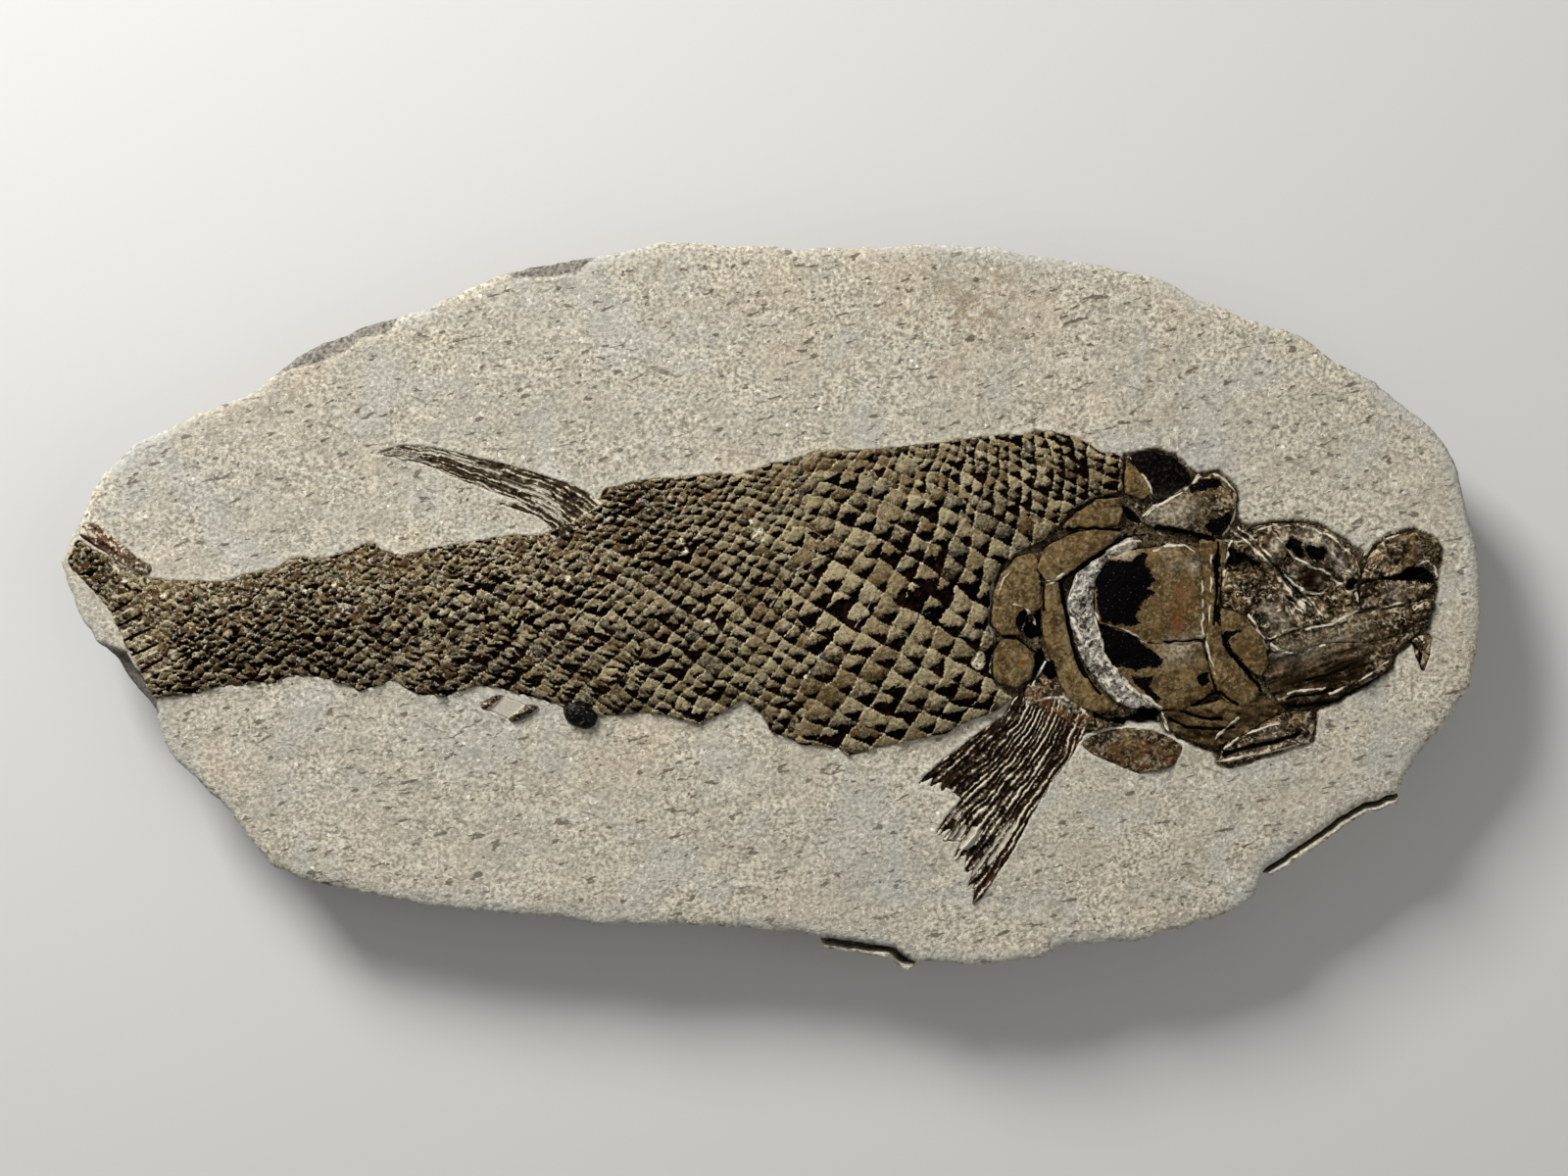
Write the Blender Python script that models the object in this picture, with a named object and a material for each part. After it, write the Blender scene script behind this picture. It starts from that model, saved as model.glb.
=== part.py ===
"""A fossil fish in its rock: an oval limestone slab whose upper face shows one thick-scaled fish in low relief.

The slab lies on its flat back. +X points along the fish to its snout, +Y to its back, +Z out of the face.
The origin is the centre of the back. Outlines are in millimetres; every object is built in metres.
"""

import math

import bmesh
import bpy
from mathutils import Matrix, Vector, geometry, noise

MM = 0.001
OBJECT_NAME = "fossil_fish_slab"
CUTTERS = "cutters"

# Driving dimensions, in millimetres.
SLAB_LENGTH = 290.0
SLAB_WIDTH = 148.0
SLAB_THICKNESS = 20.0
BED_DEPTH = 2.0  # how far the bones sit in the rock
GAP = 0.3  # between a bone and the rock, and between two bones
COAT_GAP = 1.1  # round the coat, whose stepped edge crosses its smooth rim here and there

BED_FLOOR = SLAB_THICKNESS - BED_DEPTH
BONE_FLOOR = BED_FLOOR + GAP
CUTTER_TOP = SLAB_THICKNESS + 10.0
SLAB_RIM_STEP = 8.0
SLAB_FACE_STEP = 16.0
PLATE_RIM_STEP = 3.4
PLATE_STEP = 4.6
COAT_RIM_STEP = 3.5
MIN_MITRE = 0.3  # keeps a sharp corner of a moved rim from shooting out

# A finish is a linear RGB colour and a roughness.
LIMESTONE = ((0.47, 0.42, 0.34), 0.9)
TAN_BONE = ((0.22, 0.15, 0.075), 0.5)
SCALE_BONE = ((0.20, 0.155, 0.095), 0.5)
DARK_BONE = ((0.07, 0.045, 0.028), 0.4)
BLACK_BONE = ((0.015, 0.012, 0.011), 0.3)
PALE_BONE = ((0.24, 0.21, 0.17), 0.55)
FIN_BONE = ((0.16, 0.115, 0.075), 0.55)

# The slab's rim, clockwise from its left tip, with the notches and corners that break the oval.
SLAB_RIM = (
    (-145.0, 7.6), (-141.2, 16.8), (-137.2, 25.0), (-130.0, 32.6), (-117.8, 38.2), (-106.6, 42.2),
    (-99.4, 48.4), (-92.4, 53.0), (-75.6, 58.8), (-55.6, 66.8), (-45.4, 69.4), (-36.8, 70.8),
    (-22.0, 73.6), (-14.4, 73.6), (-8.6, 72.4), (11.0, 72.4), (30.4, 73.0), (44.6, 73.0),
    (52.8, 70.8), (72.2, 67.8), (86.4, 62.4), (94.6, 59.0), (107.8, 54.6), (115.0, 49.4),
    (123.2, 45.4), (136.4, 34.0), (141.6, 21.8), (144.6, 7.6), (145.0, -5.4), (143.2, -16.8),
    (137.6, -24.8), (128.8, -36.2), (128.4, -38.6), (119.2, -41.2), (113.0, -46.4), (100.8, -54.4),
    (98.8, -59.6), (94.6, -63.2), (74.2, -69.2), (60.0, -69.8), (54.8, -72.8), (41.6, -74.0),
    (27.8, -73.4), (25.2, -70.8), (3.6, -67.2), (-33.2, -66.2), (-60.6, -63.2), (-86.2, -59.0),
    (-102.4, -53.4), (-106.6, -48.4), (-116.8, -36.6), (-123.0, -30.0), (-126.0, -21.8), (-137.2, -8.6),
    (-141.2, -2.4),
)
# Spots round the rim, each with x, y and reach along it. A chip has the depth that spalled off the face,
# and a ledge has how far a lower layer of the rock stands out past the face.
CHIPS = ((-87.0, 54.0, 13.0, 4.0), (-45.0, 68.5, 9.0, 3.0), (-132.0, -14.0, 9.0, 5.0), (22.0, -72.0, 9.0, 3.0))
LEDGES = ((113.0, -48.0, 14.0, 2.4), (14.0, -70.0, 10.0, 1.4))
# The side's layers downwards from the face: height as a share of the rim's, and how far out.
SIDE_LAYERS = ((0.74, 0.2), (0.64, -0.9), (0.32, 0.1), (0.0, -3.0))
LEDGE_SHARES = (1.0, 0.6, 0.3, 0.0)

# The coat of scales, anticlockwise from the tip of the tail.
COAT_RIM = (
    (-143.4, 8.2), (-140.8, 4.8), (-137.0, 1.2), (-134.6, -2.4), (-131.6, -8.6), (-128.4, -14.6),
    (-125.8, -19.6), (-113.2, -17.4), (-100.0, -16.0), (-97.4, -14.8), (-91.8, -15.2), (-83.8, -18.0),
    (-77.4, -15.8), (-71.4, -18.8), (-66.4, -19.0), (-60.0, -16.8), (-55.2, -17.6), (-42.8, -21.0),
    (-35.2, -23.2), (-24.2, -22.4), (-14.8, -24.6), (-9.6, -22.2), (-5.4, -19.8), (-1.6, -23.0),
    (-0.2, -26.4), (7.0, -29.2), (13.0, -29.4), (15.6, -31.4), (22.0, -29.4), (35.4, -26.6),
    (38.2, -24.8), (45.6, -22.4), (49.6, -19.4), (45.2, -16.6), (44.3, -13.0), (45.6, -7.2),
    (44.2, -4.6), (44.4, 2.0), (46.4, 7.0), (50.2, 10.6), (54.4, 11.8), (58.4, 15.8),
    (61.8, 19.4), (65.6, 21.9), (71.4, 22.8), (71.8, 29.6), (67.0, 30.8), (62.6, 33.4),
    (57.2, 35.0), (46.6, 34.0), (28.4, 32.0), (16.6, 30.6), (10.6, 31.2), (5.4, 29.6),
    (-7.0, 26.2), (-24.2, 25.2), (-29.4, 24.4), (-34.2, 22.6), (-34.8, 19.8), (-41.0, 16.8),
    (-46.6, 13.8), (-52.0, 13.6), (-62.2, 12.4), (-75.8, 9.6), (-79.0, 10.4), (-81.6, 12.4),
    (-91.2, 8.8), (-98.4, 9.2), (-101.0, 7.0), (-111.2, 4.6), (-120.8, 4.2), (-127.6, 5.2),
    (-131.6, 6.9), (-136.2, 9.9), (-141.6, 13.0),
)
# Tail to head: x on the mid line, its y, the columns' slant in degrees, and a scale's height along its column.
BODY_STATIONS = (
    (-170.0, 1.0, 36.0, 3.5),
    (-125.0, -5.4, 38.0, 3.7),
    (-97.0, -3.6, 39.0, 4.0),
    (-57.0, -3.2, 41.0, 4.3),
    (-17.0, -0.6, 46.0, 4.5),
    (23.0, 2.6, 56.0, 4.5),
    (55.0, 6.0, 64.0, 4.5),
    (100.0, 9.0, 68.0, 4.5),
)
COLUMN_PITCH_TAIL, COLUMN_PITCH_HEAD = 4.6, 5.7
ROW_STEP = 0.67  # the rows step down by this share of a scale from each column to the next
ROW_SHRINK = 0.016  # the rows close up by this share for each row away from the mid line
# A scale's corners stand this far over the coat: hind low, front low, front high, hind high.
SCALE_LIFTS = (0.45, 0.0, 0.3, 0.8)
SCALE_INSET = 0.11  # the groove round each scale, as a share of the scale
ROWS_EACH_WAY = 14
RIM_REACH = 1.0  # a scale whose centre is this far past the rim is still kept, trimmed to the rim
MIN_SCALE_SHARE = 0.3  # a scale that the rim trims to less than this share is left out
COAT_EDGE_HEIGHT, COAT_DOME, COAT_DOME_REACH = 0.2, 2.6, 10.0

# Bones: outline, height of the rim over the slab's face, extra height in the middle, and finish.
# A bone is trimmed where it passes under one that comes before it.
BONES = {
    "operculum": ((
        (69.4, 9.0), (75.8, 10.8), (84.0, 11.8), (87.0, 10.6), (88.0, 4.0), (88.0, -7.2), (77.0, -7.8),
        (71.6, -5.2), (67.0, -4.2), (66.2, 2.4),
    ), 0.9, 1.5, TAN_BONE),
    "suboperculum": ((
        (67.4, -5.2), (71.6, -6.0), (77.0, -8.6), (87.8, -8.2), (89.0, -13.0), (90.0, -17.4),
        (86.6, -20.6), (79.4, -21.6), (73.2, -16.4), (69.0, -11.0),
    ), 0.8, 1.1, TAN_BONE),
    "preoperculum": ((
        (87.4, 12.8), (89.8, 13.4), (92.8, 12.0), (91.8, 7.0), (91.0, -0.6), (91.4, -5.6), (94.4, -12.0),
        (99.4, -17.8), (95.0, -21.2), (91.0, -17.6), (89.2, -11.4), (88.4, -4.4), (88.2, 5.0),
    ), 0.9, 1.1, TAN_BONE),
    "skull_roof_rear": ((
        (73.2, 29.8), (78.0, 30.6), (82.4, 29.2), (85.4, 25.8), (83.2, 22.8), (78.2, 21.2), (76.2, 25.4),
    ), 0.5, 1.8, BLACK_BONE),
    "skull_roof_front": ((
        (75.8, 16.4), (79.4, 20.2), (84.6, 22.8), (87.0, 25.6), (91.2, 26.2), (94.6, 22.4), (94.2, 17.6),
        (91.6, 13.6), (86.0, 13.8), (79.0, 15.4),
    ), 0.5, 2.2, DARK_BONE),
    "occipital_plate": (((72.6, 28.4), (75.4, 26.8), (77.4, 22.4), (75.6, 21.2), (72.4, 22.4)), 0.6, 0.6, TAN_BONE),
    "orbit_ring": ((
        (97.6, 14.8), (104.0, 16.0), (111.0, 15.6), (116.0, 12.8), (119.4, 8.6), (119.4, 4.2), (112.4, 2.0),
        (108.0, 2.0), (104.6, 6.0), (100.0, 10.6),
    ), 0.5, 1.6, DARK_BONE),
    "snout": ((
        (120.6, 4.8), (122.4, 9.4), (126.4, 13.4), (131.0, 14.4), (136.0, 12.4), (136.0, 9.8), (131.4, 7.2),
        (125.4, 5.2),
    ), 0.4, 1.9, DARK_BONE),
    "premaxilla": ((
        (120.4, 3.4), (126.4, 4.4), (130.8, 5.0), (134.8, 6.6), (135.0, 3.8), (131.4, 0.6), (125.2, -0.8),
        (120.6, -1.0),
    ), 0.5, 1.0, DARK_BONE),
    "jugal_plate": ((
        (91.8, -1.2), (96.2, -2.6), (99.4, -6.4), (101.4, -12.6), (99.8, -15.0), (95.4, -11.6), (92.0, -6.4),
    ), 0.8, 0.9, TAN_BONE),
    "lower_jaw": ((
        (101.4, -10.4), (107.8, -10.0), (112.8, -8.4), (124.8, -7.8), (133.6, -3.4), (131.0, -6.4),
        (127.0, -10.0), (126.2, -13.0), (119.6, -17.2), (110.6, -21.4), (104.6, -21.2), (100.4, -14.6),
    ), 0.6, 1.9, DARK_BONE),
    "upper_jaw": ((
        (101.8, -8.2), (109.2, -5.0), (117.8, -2.6), (125.0, -1.6), (131.0, -0.2), (134.6, 0.8),
        (133.4, -2.8), (124.8, -7.2), (112.8, -8.2), (107.8, -9.8), (102.2, -10.4),
    ), 0.7, 1.4, DARK_BONE),
    "jaw_splint": (((130.6, -7.6), (134.4, -6.4), (133.0, -14.0), (131.6, -10.6)), 0.3, 0.5, TAN_BONE),
    "cheek_plate": ((
        (92.8, 10.6), (95.0, 14.6), (97.4, 14.0), (101.4, 8.4), (105.0, 4.0), (109.6, 0.9), (119.2, 3.0),
        (119.8, -1.4), (109.2, -4.6), (100.8, -7.4), (97.4, -4.0), (92.4, -0.8), (92.0, 5.0),
    ), 0.5, 0.9, DARK_BONE),
    "supracleithrum_upper": ((
        (59.4, 15.4), (62.4, 18.4), (65.8, 20.8), (70.6, 21.4), (71.6, 18.6), (70.6, 16.2), (64.0, 14.9),
    ), 0.9, 1.2, TAN_BONE),
    "supracleithrum_lower": ((
        (54.2, 6.8), (55.8, 10.8), (61.0, 13.6), (67.0, 14.8), (71.4, 14.2), (66.4, 10.4), (60.4, 5.4),
        (56.2, 4.4),
    ), 1.0, 1.2, TAN_BONE),
    "cleithrum": ((
        (55.4, 3.6), (58.4, 4.0), (59.2, 0.4), (60.2, -4.8), (62.0, -10.6), (66.4, -17.6), (70.4, -21.8),
        (66.6, -22.4), (60.8, -19.4), (58.0, -13.2), (55.8, -7.6), (55.0, -2.6),
    ), 0.9, 1.0, TAN_BONE),
    "gill_rim": ((
        (73.2, 13.4), (67.4, 9.8), (62.2, 5.6), (60.6, 1.0), (60.8, -4.0), (62.6, -9.0), (66.0, -15.0),
        (70.6, -20.2), (76.4, -21.6), (78.4, -20.4), (72.6, -16.0), (68.2, -9.4), (65.8, -3.0),
        (65.6, 2.4), (67.6, 8.0), (74.6, 11.6),
    ), 0.8, 0.9, PALE_BONE),
    "shoulder_plate_upper": ((
        (45.4, 1.4), (47.0, 5.8), (50.2, 9.0), (53.4, 10.0), (54.6, 5.0), (54.8, -1.0), (51.4, -2.6),
        (51.0, -6.4), (47.2, -6.8), (45.2, -4.4),
    ), 1.0, 0.8, TAN_BONE),
    "shoulder_plate_lower": ((
        (45.2, -14.4), (45.6, -9.8), (47.2, -7.4), (50.8, -7.8), (54.0, -11.2), (52.8, -15.2),
        (49.8, -17.2), (46.8, -16.4),
    ), 0.9, 0.8, TAN_BONE),
    "fin_girdle": ((
        (52.2, -17.2), (56.0, -14.8), (59.6, -18.4), (66.0, -22.8), (70.4, -23.4), (69.0, -25.6),
        (62.8, -25.4), (56.8, -21.8), (51.4, -20.6),
    ), 0.5, 0.8, PALE_BONE),
    "hyoid_bars": ((
        (79.6, -22.2), (88.6, -20.8), (93.0, -19.6), (100.4, -19.2), (103.4, -21.4), (102.2, -23.2),
        (96.6, -26.2), (90.4, -29.4), (85.6, -28.0), (81.0, -25.4),
    ), 0.5, 0.9, TAN_BONE),
    "gular_plate": ((
        (91.4, -32.2), (92.2, -29.6), (97.2, -26.6), (104.0, -23.0), (110.4, -22.0), (109.8, -27.6),
        (104.0, -29.6), (93.8, -32.8),
    ), 0.4, 1.2, DARK_BONE),
    "branchiostegal_plate": ((
        (63.4, -28.8), (71.0, -26.0), (78.0, -26.4), (83.8, -29.6), (81.6, -33.2), (75.0, -34.4),
        (68.4, -32.0),
    ), 0.3, 0.9, DARK_BONE),
    "pelvic_fin_stub": ((
        (-59.4, -21.0), (-55.4, -19.0), (-50.2, -21.0), (-47.4, -21.4), (-52.4, -24.0), (-56.2, -22.2),
    ), 0.3, 0.3, FIN_BONE),
    "tail_fulcra": ((
        (-141.0, 14.0), (-140.2, 16.0), (-137.6, 15.6), (-131.8, 10.8), (-126.6, 7.2), (-127.4, 5.9),
        (-131.4, 7.7), (-136.0, 10.7),
    ), 0.4, 0.8, FIN_BONE),
}
BONE_DOME_REACH = 2.6
# The hollow that holds the head's bones, anticlockwise from the pectoral fin; it opens into the coat's hollow.
HEAD_BED = (
    (50.6, -21.4), (56.4, -23.0), (62.6, -26.7), (70.2, -26.8), (73.0, -24.6), (79.6, -24.8),
    (80.4, -26.6), (85.2, -29.3), (90.0, -31.0), (91.0, -33.4), (94.0, -34.1), (104.6, -30.9),
    (111.0, -28.4), (111.8, -22.4), (120.4, -18.2), (127.3, -13.5), (128.2, -10.6), (134.4, -5.2),
    (136.0, 1.0), (137.2, 9.6), (137.2, 13.0), (131.2, 15.6), (125.8, 14.5), (121.0, 10.4),
    (116.9, 13.8), (111.4, 16.8), (104.0, 17.2), (97.4, 16.2), (95.5, 17.4), (95.9, 22.8),
    (91.8, 27.5), (86.8, 26.9), (83.0, 30.5), (78.2, 31.8), (71.8, 30.8), (70.6, 23.4),
    (60.0, 19.2), (52.0, 12.0), (46.0, 7.0), (44.0, -4.0), (45.6, -7.6), (44.0, -15.6),
)

# Fins: each ray runs through a root point, a bend point and a tip point.
DORSAL_RAYS = (
    ((-35.6, 20.2), (-50.0, 27.6), (-77.4, 31.9)),
    ((-37.6, 19.2), (-52.0, 26.0), (-78.4, 31.1)),
    ((-40.6, 17.9), (-54.0, 23.6), (-76.0, 29.8)),
    ((-43.4, 16.4), (-54.4, 21.4), (-68.0, 27.0)),
    ((-46.4, 14.8), (-53.4, 18.6), (-60.0, 22.6)),
)
PECTORAL_RAYS = (
    ((50.8, -22.4), (40.0, -29.0), (29.8, -36.8)),
    ((51.8, -22.6), (42.6, -30.4), (33.4, -39.4)),
    ((52.8, -22.8), (45.0, -32.0), (34.4, -43.4)),
    ((53.8, -23.0), (45.8, -34.4), (34.0, -48.0)),
    ((54.8, -23.2), (47.4, -37.0), (36.8, -52.0)),
    ((55.8, -23.4), (49.6, -38.8), (39.4, -56.0)),
    ((56.8, -23.8), (51.6, -39.6), (41.4, -61.2)),
    ((58.0, -24.4), (53.6, -39.2), (44.4, -56.8)),
    ((59.4, -25.2), (56.0, -37.8), (49.0, -50.8)),
    ((61.0, -26.2), (58.4, -34.4), (54.2, -43.0)),
)
RAY_STEPS = 6
RAY_HEIGHT, RAY_VALLEY = 0.8, 0.2
RAY_TIP_SHARE = 0.4  # a ray's height at its tip, as a share of its height at its root

NODULE_CENTRE, NODULE_RADII = (-38.9, -22.8), (3.7, 2.7, 2.0)
NODULE_TURN = math.radians(-28)
NODULE_SIDES, NODULE_RINGS = 12, 6


# ---------------------------------------------------------------- outlines


def catmull_rom(a, b, c, d, t):
    """The point at share t from b to c on a smooth curve through a, b, c and d."""
    return 0.5 * (2 * b + (c - a) * t + (2 * a - 5 * b + 4 * c - d) * t**2 + (3 * b - a - 3 * c + d) * t**3)


def anticlockwise(rim):
    area = sum(p.cross(q) for p, q in zip(rim, rim[1:] + rim[:1]))
    return rim if area > 0 else rim[::-1]


def smooth_rim(points, step):
    """A closed smooth curve through the points, anticlockwise, with a point about every step."""
    knots = [Vector(p) for p in points]
    rim = []
    for i, knot in enumerate(knots):
        before, after, beyond = knots[i - 1], knots[(i + 1) % len(knots)], knots[(i + 2) % len(knots)]
        parts = max(1, round((after - knot).length / step))
        rim += [catmull_rom(before, knot, after, beyond, k / parts) for k in range(parts)]
    return anticlockwise(rim)


def grown(rim, margin):
    """The anticlockwise rim moved outwards; margin is a number or a function of the point."""
    moved = []
    for i, point in enumerate(rim):
        before, after = (point - rim[i - 1]).normalized(), (rim[(i + 1) % len(rim)] - point).normalized()
        along = (before + after).normalized()
        mitre = 1 / max(MIN_MITRE, along.dot(after))
        outward = Vector((along.y, -along.x)) * mitre
        moved.append(point + outward * (margin(point) if callable(margin) else margin))
    return moved


def inside(point, rim):
    found = False
    for p, q in zip(rim, rim[1:] + rim[:1]):
        if (p.y > point.y) != (q.y > point.y) and point.x < p.x + (point.y - p.y) / (q.y - p.y) * (q.x - p.x):
            found = not found
    return found


def nearest_on_rim(point, rim):
    best = rim[0]
    for p, q in zip(rim, rim[1:] + rim[:1]):
        along = q - p
        share = max(0.0, min(1.0, (point - p).dot(along) / along.length_squared))
        candidate = p + along * share
        if (candidate - point).length < (best - point).length:
            best = candidate
    return best


def from_rim(point, rim):
    return (nearest_on_rim(point, rim) - point).length


def meet(rim, other):
    return any(inside(p, other) for p in rim) or any(inside(p, rim) for p in other)


def spot_value(point, spots):
    """The largest of the spots' values here; each fades with distance."""
    return max(size * math.exp(-(((point - Vector((x, y))).length / reach) ** 2)) for x, y, reach, size in spots)


def unevenness(point, wavelength, seed):
    """Smooth noise from about -1 to 1."""
    return noise.noise(Vector((point.x / wavelength, point.y / wavelength, seed)))


# ---------------------------------------------------------------- meshes


def material(name, finish):
    colour, roughness = finish
    made = bpy.data.materials.new(name)
    made.use_nodes = True
    shader = made.node_tree.nodes["Principled BSDF"]
    shader.inputs["Base Color"].default_value = (*colour, 1.0)
    shader.inputs["Roughness"].default_value = roughness
    shader.inputs["Metallic"].default_value = 0.0
    return made


def new_object(name, bm, collection=OBJECT_NAME):
    """Makes an object of the mesh, which is in millimetres, and frees it."""
    bmesh.ops.recalc_face_normals(bm, faces=bm.faces)
    mesh = bpy.data.meshes.new(name)
    bm.to_mesh(mesh)
    bm.free()
    mesh.transform(Matrix.Scale(MM, 4))
    made = bpy.data.objects.new(name, mesh)
    bpy.data.collections[collection].objects.link(made)
    return made


def new_part(name, bm, finish):
    made = new_object(name, bm)
    made.data.materials.append(material(name, finish))
    return made


def close_below(bm, floor):
    """Drops a wall from the open surface's edge to the floor and closes it there."""
    rim = [e for e in bm.edges if e.is_boundary]
    made = bmesh.ops.extrude_edge_only(bm, edges=rim)["geom"]
    for vert in (item for item in made if isinstance(item, bmesh.types.BMVert)):
        vert.co.z = floor
    foot = [item for item in made if isinstance(item, bmesh.types.BMEdge) and item.is_boundary]
    bmesh.ops.edgeloop_fill(bm, edges=foot)


def filled_rim(rim, step):
    """A flat triangle mesh inside the rim, with inner points on a staggered grid. The rim's points come first."""
    points = list(rim)
    left, right = min(p.x for p in rim), max(p.x for p in rim)
    low, high = min(p.y for p in rim), max(p.y for p in rim)
    row_gap = step * math.sqrt(3) / 2
    for row in range(1, math.ceil((high - low) / row_gap)):
        for column in range(math.ceil((right - left) / step) + 1):
            point = Vector((left + (column + 0.5 * (row % 2)) * step, low + row * row_gap))
            if inside(point, rim) and from_rim(point, rim) > 0.5 * step:
                points.append(point)
    edges = [(i, (i + 1) % len(rim)) for i in range(len(rim))]
    points, _, faces, *_ = geometry.delaunay_2d_cdt(points, edges, [], 1, 1e-5)
    bm = bmesh.new()
    verts = [bm.verts.new((p.x, p.y, 0.0)) for p in points]
    for face in faces:
        bm.faces.new([verts[i] for i in face])
    return bm


def prism(name, rim):
    """A hidden cutter that stands on the bed's floor and reaches past everything above it."""
    bm = bmesh.new()
    bm.faces.new([bm.verts.new((p.x, p.y, CUTTER_TOP)) for p in rim])
    close_below(bm, BED_FLOOR)
    made = new_object(f"{name}_cutter", bm, CUTTERS)
    made.hide_render = True
    made.display_type = "WIRE"
    return made


def cut(target, cutter):
    modifier = target.modifiers.new(cutter.name, "BOOLEAN")
    modifier.operation = "DIFFERENCE"
    modifier.solver = "EXACT"
    modifier.object = cutter


# ---------------------------------------------------------------- the slab


def slab_rim():
    """The rim at the face, fitted to the driving length and width and centred on the origin."""
    rim = smooth_rim(SLAB_RIM, SLAB_RIM_STEP)
    low = Vector((min(p.x for p in rim), min(p.y for p in rim)))
    high = Vector((max(p.x for p in rim), max(p.y for p in rim)))
    middle = (low + high) / 2
    stretch = Vector((SLAB_LENGTH / (high.x - low.x), SLAB_WIDTH / (high.y - low.y)))
    return [(p - middle) * stretch for p in rim]


def face_height(point, edge):
    """Height of the slab's face: gently uneven, rounded off at the rim and spalled at the chips."""
    chip = spot_value(point, CHIPS)
    drop = (1.0 + chip) * math.exp(-edge / (1.6 + chip))
    swell = 0.25 * unevenness(point, 22.0, 1.0) * min(1.0, edge / 8.0)
    return SLAB_THICKNESS - drop + swell


def side_ring(rim, layer):
    """The rim's points moved out or in for one layer of the side."""
    out = SIDE_LAYERS[layer][1]

    def margin(point):
        ledge = LEDGE_SHARES[layer] * spot_value(point, LEDGES)
        return out - 0.5 + ledge + 0.5 * unevenness(point, 9.0, 5.0 + layer)

    return grown(rim, margin)


def build_slab():
    rim = slab_rim()
    bm = filled_rim(rim, SLAB_FACE_STEP)
    for vert in bm.verts:
        vert.co.z = face_height(vert.co.xy, from_rim(vert.co.xy, rim))
    bm.verts.ensure_lookup_table()
    top = loop = bm.verts[: len(rim)]
    for layer, (share, _) in enumerate(SIDE_LAYERS):
        ring = [bm.verts.new((*p, v.co.z * share)) for p, v in zip(side_ring(rim, layer), top)]
        for i in range(len(ring)):
            bm.faces.new((loop[i - 1], loop[i], ring[i], ring[i - 1]))
        loop = ring
    bm.faces.new(loop)
    return new_part("matrix_slab", bm, LIMESTONE)


# ---------------------------------------------------------------- the coat of scales


def along_body(x):
    """The mid line's y, the columns' slant and the scale's height at x, straight between the stations."""
    for left, right in zip(BODY_STATIONS, BODY_STATIONS[1:]):
        if x <= right[0]:
            share = (x - left[0]) / (right[0] - left[0])
            return [a + (b - a) * share for a, b in zip(left[1:], right[1:])]
    return BODY_STATIONS[-1][1:]


def column_starts():
    """The x of each column of scales where it crosses the mid line."""
    first, last = BODY_STATIONS[0][0], BODY_STATIONS[-1][0]
    xs = [first]
    while xs[-1] < last:
        share = (xs[-1] - first) / (last - first)
        xs.append(xs[-1] + COLUMN_PITCH_TAIL + (COLUMN_PITCH_HEAD - COLUMN_PITCH_TAIL) * share)
    return xs


def lattice_point(x, k):
    """Where the column that crosses the mid line at x meets row k, counted up and down from that line."""
    y, slant, height = along_body(x)
    reach = height * k * (1 - ROW_SHRINK * abs(k))
    return Vector((x + reach * math.cos(math.radians(slant)), y + reach * math.sin(math.radians(slant))))


def centre_of(corners):
    return sum(corners, Vector((0, 0))) / len(corners)


def quad_area(corners):
    return (corners[2] - corners[0]).cross(corners[3] - corners[1]) / 2


def scale_cells(rim):
    """Each scale's corners by (column, row): hind low, front low, front high, hind high."""
    xs = column_starts()
    reach_rim = grown(rim, RIM_REACH)
    cells = {}
    for i, (x, x_next) in enumerate(zip(xs, xs[1:])):
        middle_row = round(ROW_STEP * i)
        for j in range(middle_row - ROWS_EACH_WAY, middle_row + ROWS_EACH_WAY):
            k = j - ROW_STEP * i
            whole = [
                lattice_point(x, k),
                lattice_point(x_next, k - ROW_STEP),
                lattice_point(x_next, k - ROW_STEP + 1),
                lattice_point(x, k + 1),
            ]
            if inside(centre_of(whole), reach_rim):
                trimmed = [c if inside(c, rim) else nearest_on_rim(c, rim) for c in whole]
                if quad_area(trimmed) > MIN_SCALE_SHARE * quad_area(whole):
                    cells[i, j] = trimmed
    return cells


def joined_cells(cells):
    """The cells that hang together by their sides, from the middle of the body outwards."""
    waiting = [min(cells, key=lambda cell: centre_of(cells[cell]).length)]
    kept = set(waiting)
    while waiting:
        i, j = waiting.pop()
        for near in ((i + 1, j), (i - 1, j), (i, j + 1), (i, j - 1)):
            if near in cells and near not in kept:
                kept.add(near)
                waiting.append(near)
    return kept


def build_scale_coat(rim):
    """Overlapping scales: each has its own four corners, with a riser to the next scale on each side."""
    cells = scale_cells(rim)
    bm = bmesh.new()
    tiles = {}
    for cell in sorted(joined_cells(cells)):
        tiles[cell] = []
        for corner, lift in zip(cells[cell], SCALE_LIFTS):
            point = corner.lerp(centre_of(cells[cell]), SCALE_INSET)
            dome = COAT_DOME * (1 - math.exp(-from_rim(point, rim) / COAT_DOME_REACH))
            height = SLAB_THICKNESS + COAT_EDGE_HEIGHT + dome + lift
            tiles[cell].append(bm.verts.new((*point, height)))
    for (i, j), tile in tiles.items():
        bm.faces.new(tile)
        ahead, above, across = tiles.get((i + 1, j)), tiles.get((i, j + 1)), tiles.get((i + 1, j + 1))
        if ahead:
            bm.faces.new((tile[1], ahead[0], ahead[3], tile[2]))
        if above:
            bm.faces.new((tile[3], tile[2], above[1], above[0]))
        if ahead and above and across:
            bm.faces.new((tile[2], ahead[3], across[0], above[1]))
    close_below(bm, BONE_FLOOR)
    return new_part("scale_coat", bm, SCALE_BONE)


# ---------------------------------------------------------------- bones, fins and the nodule


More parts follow.
